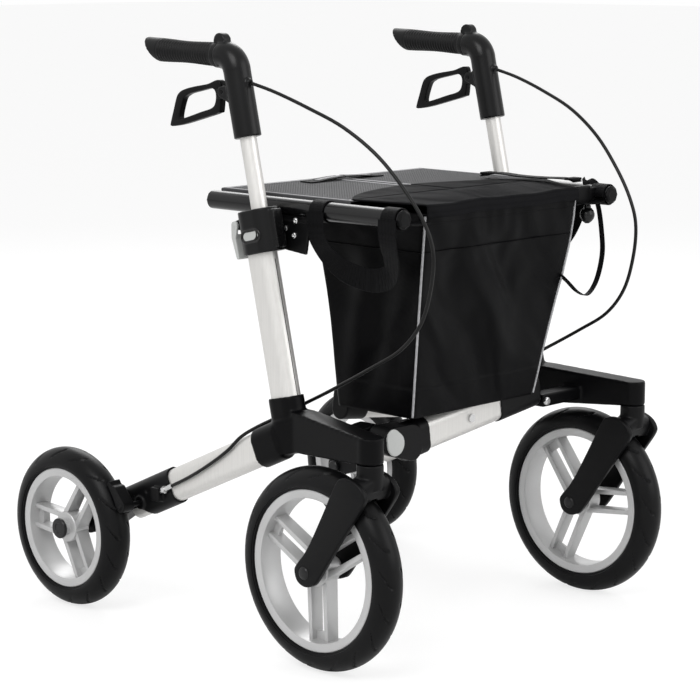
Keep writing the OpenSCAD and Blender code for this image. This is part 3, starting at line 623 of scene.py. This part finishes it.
def rim_mesh(bm, wheel, centre, turn):
    """A ring and a hub, joined by three pairs of spokes with a thin web at the ring end of each pair."""
    rim_r, hub, bore = wheel["rim"], wheel["hub"], wheel["bore"]
    inner = rim_r - RIM_THICK
    ring = mirrored([(rim_r, 18), (rim_r - 0.4, 19.4), (rim_r - 1.5, RIM_HALF), (inner + 2.2, 19.6),
                     (inner + 0.5, 18.8), (inner, 17)])
    lathe(bm, ring, centre, 144, closed=True)
    core = mirrored([(bore, hub), (11.5, hub), (12.5, hub - 1), (13, 15), (HUB_R - 1, 13), (HUB_R, 12)])
    lathe(bm, core, centre, 64, closed=True)
    half_wide, half_thick = WEB_HALF
    web = [(inner - WEB_LENGTH, -half_wide), (inner - WEB_LENGTH, half_wide),
           (inner + 2, half_wide), (inner + 2, -half_wide)]
    for k in range(3):
        place = wheel_place(centre, turn + k * 2 * math.pi / 3)
        for e in (-1, 1):
            spoke_mesh(bm, place, e * SPOKE_Y, inner + 2.5)
        skins = [[bm.verts.new(place((a, b, y))) for a, b in web] for y in (-half_thick, half_thick)]
        for skin in skins:
            bm.faces.new(skin)
        quads(bm, skins, True)


for wheel in WHEELS:
    for side, s in SIDES:
        end = wheel["end"]
        body = f"{side}_{end}_wheel"
        centre = at(wheel["x"], s * wheel["y"], wheel["r"])
        bm = bmesh.new()
        tyre_mesh(bm, wheel, centre)
        piece(body + "_tyre", bm, TYRE, body, [f"{side}_{end}_tyre"], angle=0.5)
        bm = bmesh.new()
        rim_mesh(bm, wheel, centre, math.radians(wheel["turn"][s]))
        piece(body + "_rim", bm, RIM, body, [f"{side}_{end}_rim"], angle=0.5)

# Axles with domed caps: the rear one runs from its inner collar to its outer cap

POLE = 0.01
FRONT_AXLE = mirrored([(POLE, 37.4), (4, 37.3), (7, 36.6), (8.6, 35.4), (9, 34.3), (5, 34.3)])
COLLAR_Y, CAP_Y, CAP_END = 239, 330.4, 335.4
REAR_AXLE = [(POLE, COLLAR_Y), (8.5, COLLAR_Y), (10, COLLAR_Y + 1.5), (10, COLLAR_Y + 6), (6, COLLAR_Y + 6),
             (6, CAP_Y), (14.6, CAP_Y), (15, CAP_Y + 0.6), (15, CAP_END - 1.4), (14, CAP_END - 0.3),
             (8, CAP_END), (7.4, CAP_END - 0.9), (POLE, CAP_END - 0.9)]

for side, s in SIDES:
    bm = bmesh.new()
    lathe(bm, FRONT_AXLE, at(FRONT_X, s * FRONT_Y, FRONT_R), 48)
    piece(side + "_front_axle_caps", bm, CAP_AND_GROOVE_SHADE, side + "_caster", [side + "_front_axle"], angle=0.7)
    bm = bmesh.new()
    lathe(bm, [(r, s * y) for r, y in REAR_AXLE], at(REAR_X, 0, REAR_R), 64)
    piece(side + "_rear_axle_cap", bm, CAP_AND_GROOVE_SHADE, side + "_frame", [side + "_rear_axle"])

# Moulded pieces with rounded edges, by voxel size in millimetres and rounds of smoothing, and tubes

MOULDINGS = (("casting", CAST, 1.8, 7), ("fork", BLACK, 1.4, 7), ("rear_bracket", BLACK, 1.5, 5),
             ("clamp", MOULDED, 1.3, 4), ("brake_housing", MOULDED, 1.3, 6), ("brake_arm", BLACK, 1.0, 4),
             ("seat_bracket", BLACK, 1.2, 3), ("cross_collar", BLACK, 1.3, 5), ("clamp_lever", GREY, 0.9, 4),
             ("cross_pin", GREY, 0.9, 4))
AS_BUILT = (("upright", SILVER), ("stay", SILVER), ("handle_tube", SILVER), ("cross_bar", SILVER),
            ("seat_rail", GLOSS), ("fork_stem", STEEL), ("cable_adjuster", STEEL))

for side, _ in SIDES:
    for name, mat, voxel, rounds in MOULDINGS:
        softened(f"{side}_{name}", mat, voxel, rounds)
    for name, mat in AS_BUILT:
        dress(f"{side}_{name}", mat)
dress("centre_pin", STEEL)

# Grips: fine ribs round the sleeve and a smooth slanted tip

HANDLE_X, HANDLE_Z = -166, 708
GRIP_Z = 816
GRIP_RISE = math.radians(1.5)
GRIP_BACK = Vector((-math.cos(GRIP_RISE), 0, math.sin(GRIP_RISE)))
ELBOW_X = HANDLE_X - (GRIP_Z - HANDLE_Z) * math.tan(RAKE)
RIB_SPAN = (36, 148)
RIB_PITCH = 5.2
RIB_DEPTH = 1.2
RIB_FADE = (4, 6)
CORE_R = 14
WAIST = 1.3


def ribbed(s):
    """How one grip is shaped: ribs and a slight waist between the housing and the tip."""
    base = at(ELBOW_X, s * HANDLE_Y, GRIP_Z)
    first, last = RIB_SPAN

    def shape(o):
        for v in o.data.vertices:
            t = (v.co - base).dot(GRIP_BACK) / MM
            out = v.co - (base + GRIP_BACK * t * MM)
            fade = min(1, max(0, (t - first) / RIB_FADE[0])) * min(1, max(0, (last - t) / RIB_FADE[1]))
            if out.length > CORE_R * MM and fade > 0:
                cut = RIB_DEPTH * (0.5 + 0.5 * math.cos(2 * math.pi * t / RIB_PITCH))
                cut += WAIST * math.sin(math.pi * (t - first) / (last - first)) ** 2
                v.co -= out.normalized() * fade * cut * MM

    return shape


for side, s in SIDES:
    softened(side + "_grip", GRIP, 0.8, 4, ribbed(s))

# Brake levers: a rounded finger loop, flat across the handle, on the pivot behind the housing

LEVER_RIM = [(-216, 781), (-243, 776), (-273, 771), (-291, 766.5), (-300, 762), (-305.5, 755), (-312, 737),
             (-318.5, 718), (-317, 715), (-311, 715), (-287, 719.5), (-243, 731), (-222, 737), (-216, 743)]
LEVER_HOLE = [(-284, 759), (-276, 762), (-253, 767), (-236, 770.5), (-228, 769), (-224.5, 763), (-225, 754),
              (-229, 746.5), (-238, 742), (-255, 737.5), (-282, 729.5), (-297, 726), (-300, 728.5),
              (-297, 740), (-291, 754)]
LEVER_WIDE = 11
LEVER_BOSS = (22, 13, 15)
PIN_X, PIN_Z = -206.6, 767
PIN_R = 2.4
PIN_HALF = 11.4

for side, s in SIDES:
    bm = bmesh.new()
    plate_mesh(bm, [LEVER_RIM, LEVER_HOLE], 6, s * HANDLE_Y, LEVER_WIDE, 1.6)
    bevelled_box(bm, at(PIN_X - 6, s * HANDLE_Y, PIN_Z - 3), LEVER_BOSS, 3)
    pin = [at(PIN_X, s * (HANDLE_Y + PIN_HALF * e), PIN_Z) for e in (-1, -0.3, 0.3, 1)]
    tube_mesh(bm, pin, PIN_R * MM, 16, Z_AXIS)
    node = side + "_brake_lever"
    piece(side + "_lever_loop", bm, BLACK, BODY[node], [node], angle=0.7)

# Fork legs: broad flat blades that narrow towards the axle

FORK_LEG = [(-19, 141), (-14, 127), (-1, 121), (13, 124), (25, 134), (62, 187), (91, 226), (109, 252),
            (110, 263), (101, 274), (84, 281), (69, 280), (58, 271), (33, 224), (5, 174), (-14, 151)]
LEG_Y = 30.25
LEG_THICK = 8.8

for side, s in SIDES:
    bm = bmesh.new()
    for e in (-1, 1):
        plate_mesh(bm, [FORK_LEG], 5, s * FRONT_Y + e * LEG_Y, LEG_THICK, 2.4)
    piece(side + "_fork_legs", bm, BLACK, side + "_caster", angle=0.7)

# Seat halves with their trims and pull straps

SEAT_X = (-270, -18)
SEAT_Y = (4, 206)
SEAT_WRAP = [(206.9, 627.0), (207.5, 625.9), (206.4, 621.5), (204.6, 617.5), (203.8, 612), (204.4, 607),
             (206.4, 603.2)]
SEAT_MID = 626.9
SEAT_SAG = 0.9
CLOTH = 1.6
TRIM_LIFT = 1.1
TRIM = 0.9
SIDE_TRIMS = ((203.5, 3.0), (9, 6.0))
END_TRIM = 8
PULL_X = -235
PULL_Y = (4, 75)
PULL_WIDE = 24
PULL_RISE = 3.2
STRIPE_WIDE = 9


def seat_height(x, y):
    """Mid height of the cloth: level at the rail, with a slight sag towards the seam."""
    t = (RAIL_Y - y) / RAIL_Y
    u = (x - SEAT_X[0]) / (SEAT_X[1] - SEAT_X[0])
    return SEAT_MID - SEAT_SAG * math.sin(math.pi * min(1, t * 1.1)) * math.sin(math.pi * u)


def on_seat(x, s, y, lift=0):
    """A point over the seat cloth of one side."""
    return at(x, s * y, seat_height(x, y) + lift)


for side, s in SIDES:
    body = side + "_seat"
    rows = [[on_seat(x, s, y) for y in even(*SEAT_Y, 40)] + [at(x, s * y, z) for y, z in SEAT_WRAP]
            for x in even(*SEAT_X, 63)]
    seat, _ = cloth_object(side + "_seat_cloth", rows, SEAT, CLOTH)
    keep(seat, body, [side + "_seat_panel"])
    bm = bmesh.new()
    for y, wide in SIDE_TRIMS:
        edge = [on_seat(x, s, y, TRIM_LIFT) for x in even(SEAT_X[0] + 1, SEAT_X[1] - 1, 30)]
        strap_mesh(bm, edge, Y_AXIS, wide * MM, TRIM * MM)
    for x in (SEAT_X[0] + 5, SEAT_X[1] - 5):
        edge = [on_seat(x, s, y, TRIM_LIFT) for y in even(6, 202, 30)]
        strap_mesh(bm, edge, X_AXIS, END_TRIM * MM, TRIM * MM)
    piece(side + "_seat_trim", bm, PALE, body, angle=0.5)
    bm = bmesh.new()
    pull = []
    for y in even(*PULL_Y, 24):
        lift = PULL_RISE * math.cos(math.pi / 2 * min(1, y / 62))
        pull.append(on_seat(PULL_X, s, y, 2.0 + lift))
    strap_mesh(bm, pull, X_AXIS, PULL_WIDE * MM, 1.6 * MM)
    piece(side + "_pull", bm, WEB, body, [side + "_pull_strap"], angle=0.5)
    bm = bmesh.new()
    strap_mesh(bm, [p + Z_AXIS * MM for p in pull[:18]], X_AXIS, STRIPE_WIDE * MM, 0.8 * MM)
    piece(side + "_pull_stripe", bm, PALE, body, angle=0.5)

# Black cloth on the front of each seat half, a rounded tongue in all

TONGUE_HALF = 208
TONGUE_LONG = 94
TONGUE_LIFT = 1.9
TONGUE_FRONT = -18.5


def tongue_back(y):
    """Where the black cloth ends on the seat."""
    round_off = (1 - (min(TONGUE_HALF, abs(y)) / TONGUE_HALF) ** 2) ** 0.8
    return min(-8 - TONGUE_LONG * round_off, -22)


for side, s in SIDES:
    rows = [[on_seat(x, s, y, TONGUE_LIFT) for x in even(tongue_back(y), TONGUE_FRONT, 12)]
            for y in even(3, 201, 30)]
    front, area = cloth_object(side + "_seat_front", rows, LID_NYLON, CLOTH)
    keep(front, side + "_seat")

# Closing strap that lies along the far edge of the lid

CLOSING_Y = 160
CLOSING = [(-100, 631), (-90, 634.5), (-70, 636.5), (-30, 635), (10, 635.5), (45, 637), (66, 636.5),
           (74, 634)]

bm = bmesh.new()
strap_mesh(bm, spline([at(x, CLOSING_Y, z) for x, z in CLOSING], 6), Y_AXIS, 20 * MM, 1.8 * MM)
for x, z in ((-92, 635.2), (66, 637.5)):
    bevelled_box(bm, at(x, CLOSING_Y, z), (15, 22, 3.6), 1.2)
piece("closing_strap", bm, WEB, "left_seat")

# Bag: a tapered shell, each size given at its lower edge and at its mouth

BAG_Z = (328, 613)
BAG_BACK = (-113, -143)
BAG_FRONT = (34, 75)
BAG_HALF = (139, 160)
BAG_CORNER = 9
BAG_FLOOR = 367
BAG_WALL = 1.8
BAG_HOLLOW = 2.2
BAG_WAIST = 4.0
RUFFLE = 0.8
RUFFLE_SCALE = 0.03
SLOT_X = (-15, 23)
SLOT_Y = 120
SLOT_TOP = 364
AROUND = 240
LEVELS = even(*BAG_Z, 70)
FAR_EDGE = [(0, -20), (0.2, -12), (0.42, 0), (0.6, 8), (0.75, 9), (0.9, 5), (1, 0)]


def bag_piece(o, nodes=()):
    """A piece of the bag, on the right frame, with a mesh of its own."""
    keep(o, "right_frame", nodes)
    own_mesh(o)
    return o


def bag_sizes(z):
    """Share of the height, middle, half depth, half width, straight runs, corner arc and way round at z."""
    t = (z - BAG_Z[0]) / (BAG_Z[1] - BAG_Z[0])
    x0, x1, hy = (low + (top - low) * t for low, top in (BAG_BACK, BAG_FRONT, BAG_HALF))
    hx = (x1 - x0) / 2
    straight = [2 * (hy - BAG_CORNER), 2 * (hx - BAG_CORNER)] * 2
    arc = math.pi * BAG_CORNER / 2
    return t, (x0 + x1) / 2, hx, hy, straight, arc, sum(straight) + 4 * arc


def bag_wall(u, z):
    """A point of the wall at share u of the way round and height z: its place, its outward direction, how far
    it is from the panel's edges, its panel from 0 in front, its share along the panel and of the height."""
    t, cx, hx, hy, straight, arc, total = bag_sizes(z)
    r = BAG_CORNER
    d = u * total
    corners = [(hx, -hy), (hx, hy), (-hx, hy), (-hx, -hy)]
    for k in range(4):
        ax, ay = corners[k]
        bx, by = corners[(k + 1) % 4]
        ln = math.hypot(bx - ax, by - ay)
        dx, dy = (bx - ax) / ln, (by - ay) / ln
        nx, ny = dy, -dx
        if d <= straight[k]:
            m = d / straight[k]
            belly = math.sin(math.pi * m) * math.sin(math.pi * min(1, max(0, t)))
            return cx + ax + dx * (r + d), ay + dy * (r + d), nx, ny, belly, k, m, t
        d -= straight[k]
        if d <= arc:
            ox, oy = bx - dx * r - nx * r, by - dy * r - ny * r
            c, q = math.cos(d / r), math.sin(d / r)
            mx, my = nx * c + dx * q, ny * c + dy * q
            return cx + ox + mx * r, oy + my * r, mx, my, 0, k, 1.0, t
        d -= arc
    return bag_wall(0, z)


def bag_folds(k, m, t):
    """Slanted folds of a panel: front, far side, back or near side."""
    if k == 0:
        lane = m + 0.55 * t
        return 4.4 * math.sin(9 * lane) + 2.6 * math.sin(17 * lane + 2.4 * t)
    if k == 1:
        return 2.0 * math.sin(8 * (m + 0.4 * t))
    if k == 2:
        return 1.6 + 1.6 * math.sin(8 * m + 5 * t)
    lane = m - 0.5 * t
    return 3.6 * math.sin(7.5 * lane + 1) + 2.2 * math.sin(15 * lane)


def far_edge(t):
    """How far the far front corner stands out from a straight taper, at share t of the height."""
    for (a, low), (b, high) in zip(FAR_EDGE, FAR_EDGE[1:]):
        if t <= b:
            return low + (high - low) * min(1, max(0, (t - a) / (b - a)))
    return 0


def bag_point(u, z, extra=0.0):
    """A point of the folded cloth, moved outwards by extra."""
    x, y, nx, ny, belly, k, m, t = bag_wall(u % 1.0, z)
    push = -BAG_HOLLOW * belly - BAG_WAIST * math.sin(math.pi * min(1, max(0, t))) ** 2
    push += belly * bag_folds(k, m, t)
    push += RUFFLE * belly * noise.noise(Vector((x, y, z)) * RUFFLE_SCALE)
    push += extra
    middle, hx, hy = bag_sizes(z)[1:4]
    far_corner = max(0, y / hy) ** 2 * max(0, (x - middle) / hx)
    return at(x + nx * push, y + ny * push + far_corner * far_edge(t), z)


def corner_share(far, z):
    """Share of the way round at the middle of the far or the near front corner, at height z."""
    straight, arc, total = bag_sizes(z)[4:]
    return (straight[0] + arc / 2) / total if far else 1 - arc / 2 / total


bm = bmesh.new()
rings = [[bm.verts.new(bag_point(i / AROUND, z, -1.0)) for i in range(AROUND)] for z in LEVELS]
for lower, upper in zip(rings, rings[1:]):
    for i in range(AROUND):
        j = (i + 1) % AROUND
        mid = (lower[i].co + upper[j].co) / 2 / MM
        in_slot = mid.y > SLOT_Y and mid.z < SLOT_TOP and SLOT_X[0] < mid.x - X_MID < SLOT_X[1]
        if not in_slot:
            bm.faces.new((lower[i], lower[j], upper[j], upper[i]))
_, edge = min(zip(LEVELS, rings), key=lambda level: abs(level[0] - BAG_FLOOR))
centre = sum((v.co for v in edge), Vector()) / AROUND
floor_rings = [edge]
for share in (0.85, 0.6, 0.3):
    floor_rings.append([bm.verts.new(centre + (v.co - centre) * share) for v in edge])
quads(bm, floor_rings, True)
bm.faces.new(floor_rings[-1])
bag = mesh_object("bag_body", bm, NYLON, angle=1.2)
thicken(bag, BAG_WALL, -1)
bag_piece(bag, ["bag"])

# Pale piping down the bag's front corners
for name, far in (("near", False), ("far", True)):
    bm = bmesh.new()
    line = [bag_point(corner_share(far, z), z, 0.4) for z in even(330, 610, 60)]
    tube_mesh(bm, line, 1.6 * MM, 8)
    bag_piece(mesh_object(f"bag_piping_{name}", bm, PALE, angle=1.0))

# Hem band round the bag's mouth and a seam below it
bm = bmesh.new()
for z, tall in ((606, 13), (560, 1.6)):
    section = ((-tall / 2, -0.6), (-tall / 2 + 0.5, 0.6), (tall / 2 - 0.5, 0.6), (tall / 2, -0.6))
    rows = [[bm.verts.new(bag_point(i / AROUND, z + dz, off)) for dz, off in section] for i in range(AROUND)]
    quads(bm, rows + rows[:1], True)
bag_piece(mesh_object("bag_hem", bm, NYLON, angle=0.8))

# Lid: a soft flap from the seat's front edge over the bag's mouth, with a fold over its front edge

LID_X = -17.6
LID_LONG = 92.6
LID_Z = 628.4
LID_DROP = 3.4
LID_RISE = 3.2
LID_HALF = 201
LID_TAPER = 42
LID_FOLD = ((1.6, -1.2), (2.4, -4), (2.0, -8), (2.6, -9), (2.4, -13), (2.2, -17))


def lid_point(m, n):
    """A point of the lid at share m of the way to the front and share n of the way across."""
    off = 2 * n - 1
    edge = 1 - off ** 6
    y = (LID_HALF - LID_TAPER * m ** 0.9) * off
    z = LID_Z - LID_DROP * m + LID_RISE * math.sin(math.pi * min(1, m * 1.1)) * edge
    z += (0.9 * math.sin(11 * n + 4 * m) + 0.5 * math.sin(23 * n - 6 * m)) * edge * min(1, 4 * m)
    return at(LID_X + LID_LONG * m, y, z)


rows = [[lid_point(m, n) for n in even(0, 1, 80)] for m in even(0, 1, 28)]
rows += [[p + Vector((dx, 0, dz)) * MM for p in rows[-1]] for dx, dz in LID_FOLD]
lid, _ = cloth_object("bag_lid", rows, LID_NYLON, BAG_WALL)
bag_piece(lid)

# Webbing loops over the rails, and a carry strap that hangs between them by share of its reach, y and z

LOOP_X = (-58, 74)
LOOP_R = 14.4
LOOP_WIDE = 26
LOOP_THICK = 1.7
LOOP_TAIL = [(206.5, 604), (190, 601.5), (172, 602), (161, 603)]
CARRY_FRONT = {-1: 74, 1: 16}
CARRY_WIDE = 32
CARRY = [(0, 233.4, 612), (0, 233.2, 594), (0.015, 229, 573), (0.07, 216, 551), (0.21, 202, 531),
         (0.5, 193, 522), (0.79, 200, 531), (0.93, 215, 551), (0.985, 228, 573), (1, 233.2, 594),
         (1, 233.4, 612)]

for side, s in SIDES:
    bm = bmesh.new()
    for x in LOOP_X:
        turns = [math.radians(a) for a in range(210, 560, 10)]
        ring = [at(x, s * (RAIL_Y + LOOP_R * math.cos(a)), RAIL_Z + LOOP_R * math.sin(a)) for a in turns]
        tail = spline([at(x, s * y, z) for y, z in LOOP_TAIL], 5)
        for path in (ring, tail):
            strap_mesh(bm, path, X_AXIS, LOOP_WIDE * MM, LOOP_THICK * MM)
    piece(side + "_bag_loops", bm, WEB, side + "_frame")
    bm = bmesh.new()
    reach = CARRY_FRONT[s] - LOOP_X[0]
    carry = spline([at(LOOP_X[0] + reach * k, s * y, z) for k, y, z in CARRY], 8)
    strap_mesh(bm, carry, lambda k, t: t.cross(Y_AXIS), CARRY_WIDE * MM, 1.6 * MM)
    piece(side + "_carry_strap", bm, WEB, side + "_frame")

# Buckle, cord toggle and hanging loop at the bag's far front corner

BUCKLE_X, BUCKLE_Z = 68, 613
TOGGLE = [(POLE, -12), (3.4, -12), (3.8, -11.4), (6.5, -9.4), (9.2, -6), (10.6, -2), (10.6, 2), (9.2, 6),
          (6.5, 9.4), (5.2, 10.2), (5.0, 13.4), (4.2, 14.2), (POLE, 14.2)]
HANGING = [(68, 190, 600), (69, 204, 606), (70, 214, 594), (70, 223, 556), (70, 225, 523), (69, 214, 487),
           (68, 194, 468), (66, 174, 474), (60, 158, 490), (52, 150, 500), (44, 143, 504)]
TO_BAG = [(60, 158, 611), (66, 164, 613), (68, 172, 613)]
TO_RAIL = [(68, 212, 613), (64, 217, 619), (52, 218, 626.6), (40, 218, 626.8)]

bm = bmesh.new()
bevelled_box(bm, at(BUCKLE_X, 178, BUCKLE_Z), (9, 30, 27), 3)
bevelled_box(bm, at(BUCKLE_X, 203, BUCKLE_Z), (7, 24, 20), 2.5)
for dz in (-8, 8):
    bevelled_box(bm, at(BUCKLE_X, 193, BUCKLE_Z + dz), (5, 16, 4), 1.2)
piece("buckle", bm, BLACK, "left_frame", angle=0.7)
bm = bmesh.new()
strap_mesh(bm, spline([at(*p) for p in TO_BAG], 5), Z_AXIS, 20 * MM, 1.6 * MM)
strap_mesh(bm, spline([at(*p) for p in TO_RAIL], 5), lambda k, t: Vector((0.2 + k, 1 - k, 0.6 - 0.6 * k)),
           16 * MM, 1.4 * MM)
piece("buckle_webbing", bm, WEB, "left_frame")
bm = bmesh.new()
lathe_on(bm, TOGGLE, at(69, 190, 584), Z_AXIS, 40)
piece("cord_toggle", bm, GLOSS, "left_frame", angle=0.7)
bm = bmesh.new()
strap_mesh(bm, spline([at(*p) for p in HANGING], 8), X_AXIS, 9 * MM, 1.0 * MM)
piece("hanging_loop", bm, WEB, "left_frame")

# Clamp window with a plain scale mark, rail plugs, screw heads and a dark strip of painted shade in the
# upright's groove

CLAMP_AXIS = Matrix.Rotation(-RAKE, 3, "Y")
UPRIGHT_X, UPRIGHT_Z = -115.5, 450
WINDOW_Y, WINDOW_Z = 274.3, 576
WINDOW_HALF = 9
MARK_R = 6.2
FRAME_R = 8.4
PLUG = [(POLE, 3.4), (9.5, 3.4), (12.2, 1.6), (13.0, -1), (13.0, -7), (10.9, -7.2)]
BRACKET_SCREWS = ((-116, 585), (-96, 597), (-99, 577))
BRACKET_Y = 231.8
BAR_SCREW = {-1: (-94.2, -169, 308), 1: (15.8, 169, 308)}
# Where the strip of painted groove shade runs: its offset from the upright's axis and its heights
GROOVE_SHADE_X = 23.5
GROOVE_SHADE_Z = (364, 546)


def upright_x(z):
    """Where the leaning upright's axis stands at height z."""
    return UPRIGHT_X - (z - UPRIGHT_Z) * math.tan(RAKE)


def slot_outline(r, count, more=0):
    """Points round a slot with ends of radius r, with a few more that run on past the start."""
    turns = [2 * math.pi * (k + 0.5) / count for k in range(count + more)]
    return [(WINDOW_HALF * math.copysign(1, math.cos(a)) + r * math.cos(a), r * math.sin(a)) for a in turns]


def on_clamp(spot, x, y, z):
    """A point in the clamp's leaning axes, in millimetres from a spot."""
    return spot + CLAMP_AXIS @ Vector((x * MM, y * MM, z * MM))


def socket_screw(bm, centre, direction, r, h):
    """A domed screw head with a round socket."""
    lathe_on(bm, [(POLE, 0), (r, 0), (r, 0.45 * h), (0.9 * r, 0.8 * h), (0.7 * r, h), (0.5 * r, h),
                  (0.47 * r, 0.4 * h), (POLE, 0.4 * h)], centre, direction, 30)


for side, s in SIDES:
    body = side + "_frame"
    window = at(upright_x(WINDOW_Z) + 5, s * WINDOW_Y, WINDOW_Z)
    bm = bmesh.new()
    outline = slot_outline(MARK_R, 40)
    low = [bm.verts.new(on_clamp(window, x, 0, z)) for x, z in outline]
    top = [bm.verts.new(on_clamp(window, x * 0.94, s * 1.2, z * 0.9)) for x, z in outline]
    close_ends(bm, [low, top])
    piece(side + "_scale_window", bm, GREY, body, angle=0.7)
    bm = bmesh.new()
    around = [on_clamp(window, x, s * 0.4, z) for x, z in slot_outline(FRAME_R, 48, 2)]
    tube_mesh(bm, around, 2.0 * MM, 10)
    piece(side + "_window_rim", bm, GLOSS, body, angle=0.8)
    bm = bmesh.new()
    for e, x in RAIL_ENDS:
        lathe_on(bm, PLUG, at(x, s * RAIL_Y, RAIL_Z), X_AXIS * e, 8)
    piece(side + "_rail_plugs", bm, BLACK, body, angle=0.3)
    bm = bmesh.new()
    for x, z in BRACKET_SCREWS:
        socket_screw(bm, at(x, s * BRACKET_Y, z), Y_AXIS * s, 4.4, 2.8)
    socket_screw(bm, at(*BAR_SCREW[s]), X_AXIS, 6, 4.2)
    piece(side + "_screw_heads", bm, STEEL, body, [side + "_screws"], angle=0.5)
    # Painted shade: a thin dark strip standing proud along the upright's front edge, where its groove lies in
    # shade
    bm = bmesh.new()
    groove_shade = [at(upright_x(z) + GROOVE_SHADE_X, s * HANDLE_Y, z) for z in even(*GROOVE_SHADE_Z, 24)]
    strap_mesh(bm, groove_shade, Y_AXIS, 1.3 * MM, 0.7 * MM)
    piece(side + "_upright_inlay", bm, CAP_AND_GROOVE_SHADE, body)

bpy.context.scene.view_settings.view_transform = "Standard"
